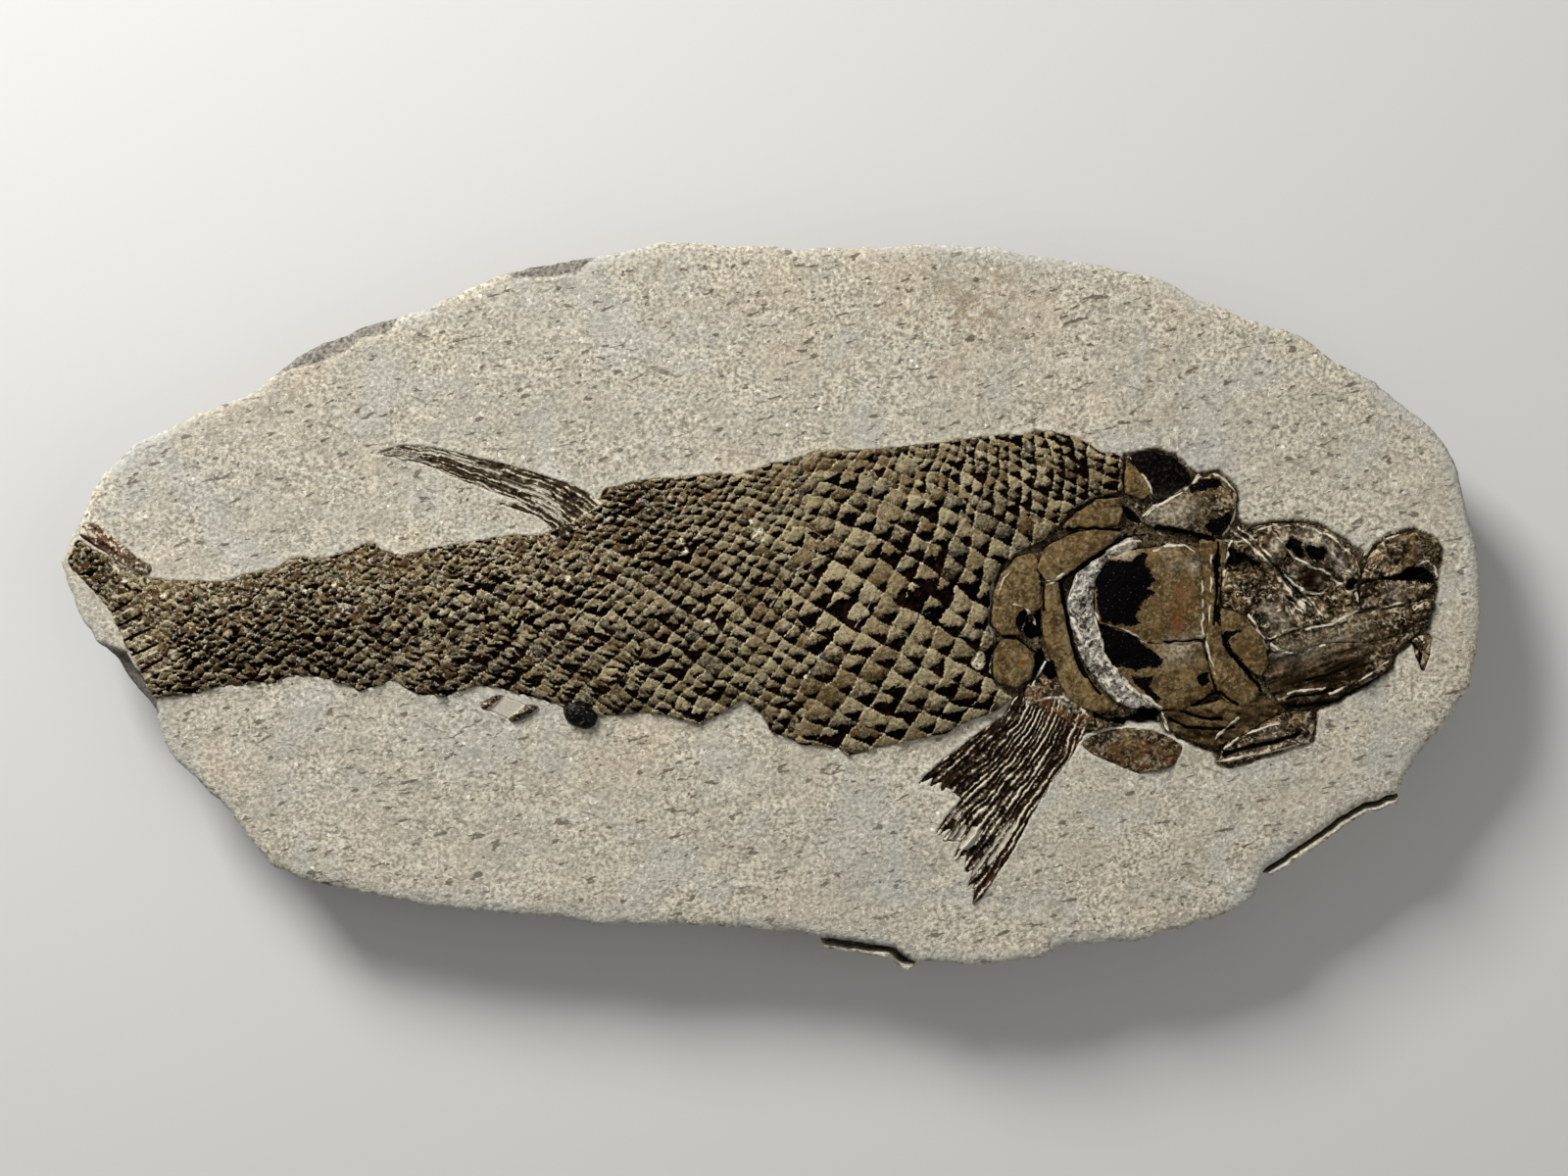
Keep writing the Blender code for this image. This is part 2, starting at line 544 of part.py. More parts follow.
def build_bone(name, rim):
    """A plate with upright sides whose top swells away from its rim."""
    _, edge_height, dome, finish = BONES[name]
    bm = filled_rim(rim, PLATE_STEP)
    for vert in bm.verts:
        swell = dome * (1 - math.exp(-from_rim(vert.co.xy, rim) / BONE_DOME_REACH))
        vert.co.z = SLAB_THICKNESS + edge_height + swell
    close_below(bm, BONE_FLOOR)
    return new_part(name, bm, finish)


def ray_point(ray, share):
    root, bend, tip = (Vector(p) for p in ray)
    return root * (1 - share) ** 2 + bend * 2 * share * (1 - share) + tip * share**2


def fin_grid(rays):
    """Lines of points along the fin: one on each ray and one in the valley between each two."""
    lines = []
    for n in range(2 * len(rays) - 1):
        shares = [step / (RAY_STEPS - 1) for step in range(RAY_STEPS)]
        lines.append([(ray_point(rays[n // 2], s) + ray_point(rays[(n + 1) // 2], s)) / 2 for s in shares])
    return lines


def fin_rim(lines):
    roots, tips = [line[0] for line in lines], [line[-1] for line in lines]
    return anticlockwise(lines[0] + tips[1:] + lines[-1][-2::-1] + roots[-2:0:-1])


def build_fin(name, lines):
    bm = bmesh.new()
    grid = []
    for n, line in enumerate(lines):
        crest = RAY_VALLEY if n % 2 else RAY_HEIGHT
        fades = [1 - (1 - RAY_TIP_SHARE) * step / (RAY_STEPS - 1) for step in range(RAY_STEPS)]
        grid.append([bm.verts.new((*p, SLAB_THICKNESS + crest * fade)) for p, fade in zip(line, fades)])
    for line, beside in zip(grid, grid[1:]):
        for quad in zip(line, line[1:], beside[1:], beside):
            bm.faces.new(quad)
    close_below(bm, BONE_FLOOR)
    return new_part(name, bm, FIN_BONE)


def nodule_rim():
    turn = Matrix.Rotation(NODULE_TURN, 2)
    angles = [2 * math.pi * n / NODULE_SIDES for n in range(NODULE_SIDES)]
    radii = Vector(NODULE_RADII[:2])
    return [turn @ (Vector((math.cos(a), math.sin(a))) * radii) + Vector(NODULE_CENTRE) for a in angles]


def build_nodule():
    bm = bmesh.new()
    bmesh.ops.create_uvsphere(bm, u_segments=NODULE_SIDES, v_segments=NODULE_RINGS, radius=1.0)
    bmesh.ops.scale(bm, vec=NODULE_RADII, verts=bm.verts)
    bmesh.ops.rotate(bm, cent=(0, 0, 0), matrix=Matrix.Rotation(NODULE_TURN, 3, "Z"), verts=bm.verts)
    bmesh.ops.translate(bm, vec=(*NODULE_CENTRE, BONE_FLOOR + NODULE_RADII[2]), verts=bm.verts)
    return new_part("belly_nodule", bm, BLACK_BONE)


# ---------------------------------------------------------------- the whole


def clear_scene():
    for old in list(bpy.data.objects):
        bpy.data.objects.remove(old)
    for name in (OBJECT_NAME, CUTTERS):
        bpy.context.scene.collection.children.link(bpy.data.collections.new(name))


def part_rims(dorsal, pectoral):
    """Each part's outline, in the order in which the parts lie on each other, the uppermost first."""
    rims = {"belly_nodule": nodule_rim()}
    rims.update({name: smooth_rim(bone[0], PLATE_RIM_STEP) for name, bone in BONES.items()})
    rims.update({"dorsal_fin": fin_rim(dorsal), "pectoral_fin": fin_rim(pectoral)})
    rims["scale_coat"] = smooth_rim(COAT_RIM, COAT_RIM_STEP)
    return rims


def fit_together(parts, rims, slab):
    """Trims each part where it passes under an earlier one, and sinks a hollow for it in the slab."""
    head_bed = [Vector(p) for p in HEAD_BED]
    cut(slab, prism("head_bed", head_bed))
    cutters = {}
    for name, part in parts.items():
        for earlier, cutter in cutters.items():
            if meet(rims[name], grown(rims[earlier], GAP)):
                cut(part, cutter)
        hollow = grown(rims[name], COAT_GAP if name == "scale_coat" else GAP)
        cutters[name] = prism(name, hollow)
        if not all(inside(p, head_bed) for p in hollow):
            cut(slab, cutters[name])


def main():
    clear_scene()
    dorsal, pectoral = fin_grid(DORSAL_RAYS), fin_grid(PECTORAL_RAYS)
    rims = part_rims(dorsal, pectoral)
    parts = {"belly_nodule": build_nodule()}
    parts.update({name: build_bone(name, rims[name]) for name in BONES})
    parts["dorsal_fin"] = build_fin("dorsal_fin", dorsal)
    parts["pectoral_fin"] = build_fin("pectoral_fin", pectoral)
    parts["scale_coat"] = build_scale_coat(rims["scale_coat"])
    fit_together(parts, rims, build_slab())


main()
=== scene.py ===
"""The looks of the fossil fish slab: rough limestone, chipped ganoid scales, head bones and fin rays.

Outlines and fields are worked out in millimetres in the CAD frame, and solid() scales them to metres.
Places read off the photograph are pixels of its 1600 by 1200 frame, which at() turns into millimetres.
"""

import math

import bmesh
import bpy
import numpy as np
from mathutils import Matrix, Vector, geometry, kdtree


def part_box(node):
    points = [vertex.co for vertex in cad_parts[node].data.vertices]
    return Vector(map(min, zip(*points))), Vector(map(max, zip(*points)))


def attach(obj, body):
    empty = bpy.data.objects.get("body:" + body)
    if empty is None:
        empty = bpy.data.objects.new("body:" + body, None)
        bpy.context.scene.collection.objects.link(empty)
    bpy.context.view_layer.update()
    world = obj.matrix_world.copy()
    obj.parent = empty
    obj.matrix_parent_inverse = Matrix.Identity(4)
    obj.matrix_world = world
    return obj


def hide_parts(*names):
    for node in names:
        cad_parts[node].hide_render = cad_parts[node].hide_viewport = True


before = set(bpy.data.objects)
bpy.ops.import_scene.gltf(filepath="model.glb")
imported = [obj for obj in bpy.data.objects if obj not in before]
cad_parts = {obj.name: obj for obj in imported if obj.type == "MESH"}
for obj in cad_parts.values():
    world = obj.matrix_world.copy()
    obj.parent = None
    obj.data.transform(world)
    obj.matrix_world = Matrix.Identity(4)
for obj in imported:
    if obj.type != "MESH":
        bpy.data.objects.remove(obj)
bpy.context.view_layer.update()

MM = 0.001
ROOT = "root"
PIXEL_MM = 0.2  # the photograph's scale
CENTRE_PX = (787.0, 615.0)  # the pixel over the frame's origin

# Heights over the slab's back, in millimetres, as in the CAD.
SLAB_TOP = 20.0
BED_FLOOR = 18.0
BONE_FLOOR = 18.3

# The spacing of each mesh's points, in millimetres.
RIM_STEP = 0.75
FACE_STEP = 0.74
NEAR_STEP = 0.46  # on the rock close to the fossil
NEAR_REACH = 2.4  # how far from the fossil that is
BED_STEP = 2.2  # on the rock beneath the fossil
BACK_STEP = 5.0
PLATE_STEP = 0.27  # on a bone
COAT_STEP = 0.308
FIN_STEP = 0.2
MARK_STEP = 0.12  # along a rim that distances are measured from
SIDE_RINGS = 22

CORNER_RADIUS = 0.5  # of the slab's, the coat's and the bones' outlines
BONE_GROWTH = 0.22  # how far a bone's broken edge reaches past its CAD outline
WELD = 1e-6  # corners of a CAD mesh closer than this are one, in metres
FLAT = 1e-5  # how far over a CAD node's underside still counts as its underside, in metres

# What turns a cell or an id, and a seed, into a number that looks random.
CELL_RIGHT, CELL_UP, CELL_SEED, CELL_SPREAD = 127.1, 311.7, 74.7, 43758.5453
ID_FACTOR, ID_SEED, ID_SPREAD = 91.7, 47.3, 24634.6345


# ---------------------------------------------------------------- fields over the plane


def at(pixels):
    """Photograph pixels as millimetres in the CAD frame."""
    points = np.asarray(pixels, float) - CENTRE_PX
    return points * (PIXEL_MM, -PIXEL_MM)


def value_noise(points, wavelength, seed):
    """Smooth noise from -1 to 1."""
    scaled = points / wavelength
    cell = np.floor(scaled)
    share = scaled - cell
    share = share * share * (3 - 2 * share)

    def corner(right, up):
        mixed = (cell[:, 0] + right) * CELL_RIGHT + (cell[:, 1] + up) * CELL_UP + seed * CELL_SEED
        spread = np.sin(mixed) * CELL_SPREAD
        return spread - np.floor(spread)

    low = corner(0, 0) * (1 - share[:, 0]) + corner(1, 0) * share[:, 0]
    high = corner(0, 1) * (1 - share[:, 0]) + corner(1, 1) * share[:, 0]
    return 2 * (low * (1 - share[:, 1]) + high * share[:, 1]) - 1


def fractal(points, wavelength, seed, octaves=3):
    """Noise of several wavelengths, each half the last one and half as strong."""
    total = np.zeros(len(points))
    for octave in range(octaves):
        total += value_noise(points, wavelength / 2**octave, seed + 17 * octave) / 2**octave
    return total


def ridged(points, wavelength, seed):
    """Noise from 0 to 1 with sharp crests."""
    return 1 - np.abs(fractal(points, wavelength, seed, 2)) / 1.5


def random_of(ids, seed):
    """A number from 0 to 1 for each whole number."""
    spread = np.sin(np.asarray(ids) * ID_FACTOR + seed * ID_SEED) * ID_SPREAD
    return spread - np.floor(spread)


def smoothstep(value, low, high):
    """From 0 at low to 1 at high."""
    share = np.clip((value - low) / (high - low), 0, 1)
    return share * share * (3 - 2 * share)


def turned(points, degrees):
    """The points' places along and across the direction."""
    angle = math.radians(degrees)
    along = points @ (math.cos(angle), math.sin(angle))
    across = points @ (-math.sin(angle), math.cos(angle))
    return np.column_stack([along, across])


def shaken(points, size, wavelength, seed, octaves=1):
    """The points moved a little by noise."""
    right, up = fractal(points, wavelength, seed, octaves), fractal(points, wavelength, seed + 3, octaves)
    return points + size * np.column_stack([right, up])


def path_distance(points, path, closed=False):
    """Each point's distance to the path."""
    path = np.asarray(path, float)
    ends = np.vstack([path, path[:1]]) if closed else path
    best = np.full(len(points), np.inf)
    for start, end in zip(ends, ends[1:]):
        along = end - start
        share = np.clip((points - start) @ along / max(along @ along, 1e-9), 0, 1)
        distance = np.hypot(*(points - (start + share[:, None] * along)).T)
        best = np.minimum(best, distance)
    return best


def inside(points, rim):
    """Which points are inside the closed rim."""
    found = np.zeros(len(points), bool)
    for start, end in zip(rim, np.roll(rim, -1, axis=0)):
        if start[1] == end[1]:
            continue
        crossing = (start[1] > points[:, 1]) != (end[1] > points[:, 1])
        where = start[0] + (points[:, 1] - start[1]) / (end[1] - start[1]) * (end[0] - start[0])
        found ^= crossing & (points[:, 0] < where)
    return found


def rim_distance(points, rim):
    """Each point's distance to a closed rim, to within a few hundredths of a millimetre."""
    marks = resampled(rim, MARK_STEP)
    tree = kdtree.KDTree(len(marks))
    for n, mark in enumerate(marks):
        tree.insert((mark[0], mark[1], 0), n)
    tree.balance()
    return np.array([tree.find((x, y, 0))[2] for x, y in points])


def depth_inside(points, rim):
    """How far each point is inside the rim; negative outside it."""
    distance = path_distance(points, rim, closed=True)
    return np.where(inside(points, rim), distance, -distance)


def close_to(points, shape, reach):
    """Which points are in the shape's box grown by the reach."""
    low, high = shape.min(axis=0) - reach, shape.max(axis=0) + reach
    return np.all((points > low) & (points < high), axis=1)


# ---------------------------------------------------------------- outlines


def anticlockwise(rim):
    following = np.roll(rim, -1, axis=0)
    area = np.sum(rim[:, 0] * following[:, 1] - rim[:, 1] * following[:, 0])
    return rim if area > 0 else rim[::-1]


def resampled(rim, step):
    """The closed rim with evenly spaced points."""
    closed = np.vstack([rim, rim[:1]])
    lengths = np.concatenate([[0], np.cumsum(np.hypot(*np.diff(closed, axis=0).T))])
    places = np.linspace(0, lengths[-1], max(8, round(lengths[-1] / step)), endpoint=False)
    return np.column_stack([np.interp(places, lengths, closed[:, axis]) for axis in (0, 1)])


def softened(rim, step, radius):
    """The closed rim resampled and its corners rounded over about the radius."""
    rim = resampled(anticlockwise(np.asarray(rim, float)), step)
    for _ in range(max(1, round((radius / step) ** 2))):
        rim = (np.roll(rim, 1, axis=0) + 2 * rim + np.roll(rim, -1, axis=0)) / 4
    return rim


def outward(rim):
    """Unit vectors that point out of an anticlockwise rim."""
    along = np.roll(rim, -2, axis=0) - np.roll(rim, 2, axis=0)
    normal = np.column_stack([along[:, 1], -along[:, 0]])
    return normal / np.hypot(*normal.T)[:, None]


def roughened(rim, wavelength, size, seed):
    return rim + outward(rim) * (size * fractal(rim, wavelength, seed))[:, None]


def footprint(node):
    """The outline of a CAD node where it stands on its bed, in millimetres."""
    mesh = bmesh.new()
    mesh.from_mesh(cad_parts[node].data)
    bmesh.ops.remove_doubles(mesh, verts=mesh.verts, dist=WELD)
    floor = min(v.co.z for v in mesh.verts) + FLAT

    def flat(face):
        return all(v.co.z < floor for v in face.verts)

    links = {}
    for edge in mesh.edges:
        if len(edge.link_faces) == 2 and flat(edge.link_faces[0]) != flat(edge.link_faces[1]):
            if all(v.co.z < floor for v in edge.verts):
                one, other = edge.verts
                links.setdefault(one.index, []).append(other.index)
                links.setdefault(other.index, []).append(one.index)
    mesh.verts.ensure_lookup_table()
    start = min(links)
    loop, last = [start], links[start][0]
    while last != start:
        following = [i for i in links[last] if i != loop[-1]]
        loop.append(last)
        last = following[0]
    rim = np.array([mesh.verts[i].co.xy[:] for i in loop]) / MM
    mesh.free()
    return anticlockwise(rim)


# ---------------------------------------------------------------- meshes


def hex_points(rim, step):
    """Points on a staggered grid inside the rim, shaken a little."""
    low, high = rim.min(axis=0), rim.max(axis=0)
    rows = np.arange(low[1], high[1], step * math.sqrt(3) / 2)
    columns = np.arange(low[0], high[0], step)
    grid = np.array([(x + 0.5 * step * (n % 2), y) for n, y in enumerate(rows) for x in columns])
    shaking = np.column_stack([value_noise(grid, 0.7 * step, seed) for seed in (3, 4)])
    grid += 0.16 * step * shaking
    return grid[inside(grid, rim)]


def clear_points(rim, step, clearance):
    """Points inside the rim that are farther from it than the clearance."""
    grid = hex_points(rim, step)
    return grid[rim_distance(grid, rim) > clearance]


def triangulated(rim, inner):
    """Triangles over the rim and the inner points; the rim's points come first."""
    points = np.vstack([rim, inner])
    edges = [(i, (i + 1) % len(rim)) for i in range(len(rim))]
    done = geometry.delaunay_2d_cdt([Vector(p) for p in points], edges, [], 1, WELD, False)
    points, faces = np.array([p[:] for p in done[0]]), np.array(done[2])
    return points, faces[inside(points[faces].mean(axis=1), rim)].tolist()


def plate(rim, step):
    """Even triangles over all that the rim encloses; the rim's points come first."""
    return triangulated(rim, clear_points(rim, step, 0.5 * step))


def wall(upper, lower):
    """The faces between two closed loops of vert numbers."""
    return np.column_stack([upper, lower, np.roll(lower, -1), np.roll(upper, -1)]).tolist()


def padded(fields, count):
    """The fields with a 0 for each of count more verts."""
    return {name: np.concatenate([values, np.zeros(count)]) for name, values in fields.items()}


def solid(name, verts, faces, fields, finish):
    """A smooth mesh object from millimetre verts; fields are float attributes, one value a vert."""
    mesh = bpy.data.meshes.new(name)
    mesh.from_pydata((np.asarray(verts) * MM).tolist(), [], faces)
    for field, values in fields.items():
        attribute = mesh.attributes.new(field, "FLOAT", "POINT")
        attribute.data.foreach_set("value", np.asarray(values, np.float32))
    mesh.polygons.foreach_set("use_smooth", [True] * len(mesh.polygons))
    mesh.update()
    mesh.materials.append(finish)
    made = bpy.data.objects.new(name, mesh)
    bpy.context.scene.collection.objects.link(made)
    return made


def carry(piece, slot, *nodes):
    """The piece rides on the slab's body and takes the place of the CAD nodes."""
    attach(piece, ROOT)
    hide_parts(*nodes)


def standing(node, rim, points, top, faces, fields, finish, slot):
    """A CAD node's piece: a surface, whose rim's points come first, with a wall and a flat underside."""
    rim_loop = np.arange(len(rim))
    foot_loop = len(points) + rim_loop
    verts = np.column_stack([points, top])
    foot = verts[: len(rim)].copy()
    foot[:, 2] = BONE_FLOOR
    closed = [*faces, *wall(rim_loop, foot_loop), foot_loop[::-1].tolist()]
    piece = solid(f"{node}_surface", np.vstack([verts, foot]), closed, padded(fields, len(rim)), finish)
    carry(piece, slot, node)


# ---------------------------------------------------------------- shader nodes


class Shader:
    """Short calls that add nodes to one material."""

    def __init__(self, name):
        self.material = bpy.data.materials.new(name)
        self.material.use_nodes = True
        self.tree = self.material.node_tree
        self.surface = self.tree.nodes["Principled BSDF"]
        self.place = self.node("ShaderNodeTexCoord").outputs["Object"]

    def node(self, kind, **settings):
        made = self.tree.nodes.new(kind)
        for key, value in settings.items():
            setattr(made, key, value)
        return made

    def plug(self, socket, value):
        """Links a socket's value, or sets it where it is a number or a colour."""
        if isinstance(value, bpy.types.NodeSocket):
            self.tree.links.new(value, socket)
        elif socket.type == "RGBA":
            socket.default_value = (*value, 1.0)
        else:
            socket.default_value = value

    def field(self, name):
        return self.node("ShaderNodeAttribute", attribute_name=name).outputs["Fac"]

    def stretched(self, scale, turn):
        """Object coordinates turned about Z and then scaled."""
        turned_place = self.node("ShaderNodeMapping", vector_type="TEXTURE")
        self.plug(turned_place.inputs["Vector"], self.place)
        turned_place.inputs["Rotation"].default_value = (0, 0, turn)
        scaled = self.node("ShaderNodeMapping")
        self.plug(scaled.inputs["Vector"], turned_place.outputs["Vector"])
        scaled.inputs["Scale"].default_value = scale
        return scaled.outputs["Vector"]

    def noise(self, size_mm, detail, place=None, distortion=0.0):
        """Noise from 0 to 1 whose lumps are about size_mm across."""
        made = self.node("ShaderNodeTexNoise")
        self.plug(made.inputs["Vector"], place or self.place)
        made.inputs["Scale"].default_value = 1 / (size_mm * MM)
        made.inputs["Detail"].default_value = detail
        made.inputs["Distortion"].default_value = distortion
        return made.outputs["Fac"]

    def cells(self, size_mm):
        """Distance to the middle of each cell, and a random colour for it."""
        made = self.node("ShaderNodeTexVoronoi")
        self.plug(made.inputs["Vector"], self.place)
        made.inputs["Scale"].default_value = 1 / (size_mm * MM)
        return made.outputs["Distance"], made.outputs["Color"]

    def math(self, operation, first, second=0.0):
        made = self.node("ShaderNodeMath", operation=operation)
        self.plug(made.inputs[0], first)
        self.plug(made.inputs[1], second)
        return made.outputs["Value"]

    def plus(self, first, second):
        return self.math("ADD", first, second)

    def times(self, first, second):
        return self.math("MULTIPLY", first, second)

    def swing(self, noise, size):
        """Noise from 0 to 1 moved to swing by half the size either way about 0."""
        return self.times(self.math("SUBTRACT", noise, 0.5), size)

    def step(self, value, low, high, bottom=0.0, top=1.0):
        """A smooth step of the value from bottom at low to top at high."""
        made = self.node("ShaderNodeMapRange", interpolation_type="SMOOTHSTEP")
        levels = {"Value": value, "From Min": low, "From Max": high, "To Min": bottom, "To Max": top}
        for name, level in levels.items():
            self.plug(made.inputs[name], level)
        return made.outputs["Result"]

    def blend(self, share, first, second):
        made = self.node("ShaderNodeMix", data_type="RGBA")
        colours = [socket for socket in made.inputs if socket.type == "RGBA"]
        self.plug(made.inputs["Factor"], share)
        self.plug(colours[0], first)
        self.plug(colours[1], second)
        return next(socket for socket in made.outputs if socket.type == "RGBA")

    def finish(self, colour, roughness, height, depth_mm, specular):
        """Sets the surface; height from 0 to 1 bumps it by depth_mm."""
        bump = self.node("ShaderNodeBump")
        bump.inputs["Distance"].default_value = depth_mm * MM
        self.plug(bump.inputs["Height"], height)
        self.plug(self.surface.inputs["Base Color"], colour)
        self.plug(self.surface.inputs["Roughness"], roughness)
        self.plug(self.surface.inputs["Normal"], bump.outputs["Normal"])
        self.plug(self.surface.inputs["Specular IOR Level"], specular)
        return self.material


# ---------------------------------------------------------------- places read off the photograph


# The slab's rim at its face, clockwise from the left tip.
SLAB_RIM_PX = (
    (62, 574), (81, 531), (101, 490), (137, 452), (198, 424), (254, 404), (290, 373), (325, 350),
    (407, 322), (422, 317), (509, 281), (560, 268), (601, 261), (677, 246), (713, 248), (744, 252),
    (842, 253), (939, 250), (1010, 251), (1051, 261), (1107, 267), (1148, 276), (1194, 289), (1219, 304),
    (1260, 320), (1291, 332), (1326, 342), (1362, 368), (1403, 388), (1439, 419), (1469, 445),
    (1485, 470), (1495, 506), (1503, 536), (1510, 577), (1511, 642), (1503, 699), (1475, 739),
    (1449, 770), (1431, 796), (1429, 808), (1383, 821), (1352, 847), (1291, 887), (1281, 913),
    (1260, 931), (1209, 946), (1158, 961), (1087, 964), (1061, 979), (995, 985), (926, 982), (913, 969),
    (852, 959), (805, 951), (713, 944), (621, 946), (560, 936), (484, 931), (407, 921), (356, 910),
    (305, 895), (275, 882), (254, 857), (234, 829), (203, 798), (172, 765), (157, 724), (147, 716),
    (101, 658), (81, 627),
)
# Where the face has spalled off to fresh grey rock: the depth in millimetres, then the chip's outline.
CHIPS = (
    (1.5, ((250, 395), (275, 340), (400, 296), (424, 306), (407, 324), (398, 340), (369, 346),
    (355, 358), (326, 371),
           (292, 379))),
    (1.3, ((512, 262), (560, 240), (614, 240), (606, 266), (590, 279), (556, 284), (524, 285))),
    (3.0, ((98, 654), (115, 660), (130, 665), (139, 681), (153, 691), (158, 702), (162, 728),
    (135, 750), (92, 710),
           (70, 665))),
    (3.0, ((842, 955), (880, 961), (914, 967), (928, 976), (940, 1000), (880, 1005), (836, 985))),
)
# Thin ledges below the face: the path of the rim beside them.
LEDGES_PX = (
    ((1412, 816), (1383, 824), (1352, 848), (1304, 882)),
    ((918, 980), (886, 966), (856, 962)),
)
# Zones of the face that are bluish or stained: the middle, the reach and the strength.
BLUE_ZONES = (
    (1232, 465, 34, 0.9), (600, 420, 120, 0.2), (880, 890, 130, 0.3), (300, 800, 90, 0.3),
    (220, 500, 90, 0.35), (1450, 560, 70, 0.25), (1380, 820, 90, 0.3), (500, 900, 90, 0.3),
    (130, 580, 60, 0.3),
)
STAINS = ((985, 310, 42, 0.6), (1018, 330, 24, 0.4), (1218, 890, 14, 0.7), (1222, 868, 8, 0.6))

# The hollow that holds the head's bones, full of brown and pale broken bone, with near-black painted shade in
# the crevices between the bones.
HEAD_BED_PX = (
    (1040, 722), (1069, 730), (1100, 748), (1138, 749), (1152, 738), (1185, 739), (1189, 748),
    (1213, 761), (1237, 770), (1242, 782), (1257, 785), (1310, 769), (1342, 757), (1346, 727),
    (1389, 706), (1423, 682), (1428, 668), (1459, 641), (1467, 610), (1473, 567), (1470, 550),
    (1443, 537), (1416, 543), (1392, 563), (1371, 546), (1344, 531), (1307, 529), (1274, 534),
    (1264, 528), (1266, 501), (1246, 478), (1221, 481), (1202, 463), (1178, 456), (1146, 461),
    (1140, 498), (1087, 519), (1047, 555), (1017, 580), (1007, 635), (1015, 653), (1007, 693),
)

# Black flakes and holes in the head, and the deep gap between the gill rim and the branchiostegal plate
# painted black as its shade.
HEAD_BLACKS = (
    ((1132, 571), (1122, 583), (1119, 598), (1118, 617), (1122, 635), (1134, 638), (1153, 639),
     (1164, 637),
     (1158, 630), (1163, 617), (1179, 604), (1170, 600), (1178, 592), (1168, 576), (1170, 566),
     (1163, 564),
     (1153, 574), (1142, 571)),
    ((1122, 637), (1134, 640), (1145, 644), (1157, 650), (1168, 658), (1178, 666), (1187, 673),
     (1184, 681),
     (1172, 682), (1157, 684), (1145, 680), (1138, 682), (1132, 675), (1126, 663), (1122, 650)),
    ((1154, 688), (1163, 692), (1178, 688), (1172, 700), (1184, 713), (1180, 717), (1170, 711),
     (1159, 700)),
    ((1220, 688), (1232, 687), (1234, 697), (1226, 702), (1219, 697)),
    ((1046, 621), (1050, 630), (1048, 642), (1040, 646), (1036, 636), (1039, 625)),
    ((1051, 633), (1062, 620), (1063, 650), (1048, 651), (1045, 645)),
    ((1055, 665), (1063, 660), (1068, 675), (1076, 675), (1080, 690), (1070, 694), (1060, 684),
     (1052, 700)),
    ((1253, 557), (1264, 563), (1272, 565), (1278, 570), (1286, 576), (1279, 579), (1273, 574),
     (1264, 575),
     (1260, 578), (1252, 577)),
    ((1245, 647), (1251, 643), (1267, 642), (1267, 646), (1254, 649), (1252, 656), (1258, 663),
     (1272, 680),
     (1288, 701), (1290, 709), (1283, 705), (1275, 693), (1263, 678), (1252, 666), (1245, 658)),
    ((1402, 590), (1427, 585), (1434, 579), (1444, 576), (1456, 581), (1463, 587), (1462, 596),
     (1452, 597),
     (1444, 592), (1428, 593)),
    # Painted shade: the deep gap between the gill rim and the branchiostegal plate.
    ((1115, 724), (1126, 732), (1145, 731), (1159, 728), (1163, 719), (1172, 722), (1182, 722),
     (1181, 738),
     (1164, 740), (1145, 739), (1130, 737), (1118, 732)),
    ((1208, 760), (1226, 760), (1240, 770), (1235, 775), (1220, 769)),
    ((1214, 497), (1224, 489), (1235, 487), (1247, 493), (1240, 499), (1228, 501), (1216, 504)),
    ((1229, 538), (1233, 530), (1247, 527), (1256, 521), (1255, 534), (1247, 543), (1237, 548)),
    ((1143, 515), (1153, 518), (1163, 527), (1167, 535), (1157, 532), (1149, 528)),
    ((1312, 553), (1317, 547), (1322, 550), (1328, 552), (1325, 559), (1330, 566), (1325, 569),
     (1318, 563), (1310, 560)),
    ((1329, 559), (1337, 555), (1341, 560), (1349, 556), (1354, 563), (1350, 571), (1342, 573),
     (1337, 569), (1333, 565)),
    ((1373, 591), (1379, 588), (1384, 592), (1383, 600), (1376, 602), (1372, 597)),
    ((1306, 585), (1313, 584), (1314, 592), (1307, 593)),
    ((1236, 572), (1242, 560), (1245, 572), (1244, 600), (1240, 600)),
    ((1240, 616), (1245, 616), (1244, 640), (1239, 636)),
)
# Dark gaps and cracks, and the painted shadow under the lower jaw's lower edge: the width in millimetres,
# then the path.
HEAD_CRACKS_AND_SHADOW = (
    (0.55, (1180, 537), (1191, 539), (1207, 543), (1226, 547), (1237, 551)),
    (0.5, (1081, 592), (1086, 617), (1092, 646), (1099, 675), (1107, 690)),
    (0.55, (1084, 591), (1099, 581), (1115, 570), (1126, 563)),
    (0.3, (1064, 597), (1064, 622)),
    (0.25, (1023, 649), (1036, 650), (1046, 658), (1056, 665)),
    (0.25, (1187, 655), (1205, 654), (1224, 652)),
    # Painted shadow under the lower jaw's lower edge.
    (0.45, (1314, 721), (1343, 719), (1364, 716), (1387, 702), (1402, 694), (1417, 685)),
    (0.3, (1312, 712), (1341, 708), (1362, 703)),
    (0.3, (1331, 694), (1352, 689), (1375, 680)),
    (0.35, (1191, 732), (1210, 742), (1239, 744), (1258, 742)),
    (0.35, (1205, 726), (1225, 732), (1245, 734)),
    (0.5, (1249, 770), (1276, 761), (1300, 757), (1326, 748)),
    (0.3, (1242, 555), (1241, 610), (1237, 637)),
    (0.3, (1101, 521), (1118, 509), (1140, 506)),
    (0.3, (1088, 540), (1120, 539), (1143, 541)),
    (0.25, (1128, 560), (1150, 548), (1170, 545)),
    (0.3, (1215, 720), (1243, 706), (1262, 720)),
    (0.3, (1097, 664), (1108, 690), (1122, 708)),
    (0.3, (1440, 655), (1450, 668), (1446, 690)),
)
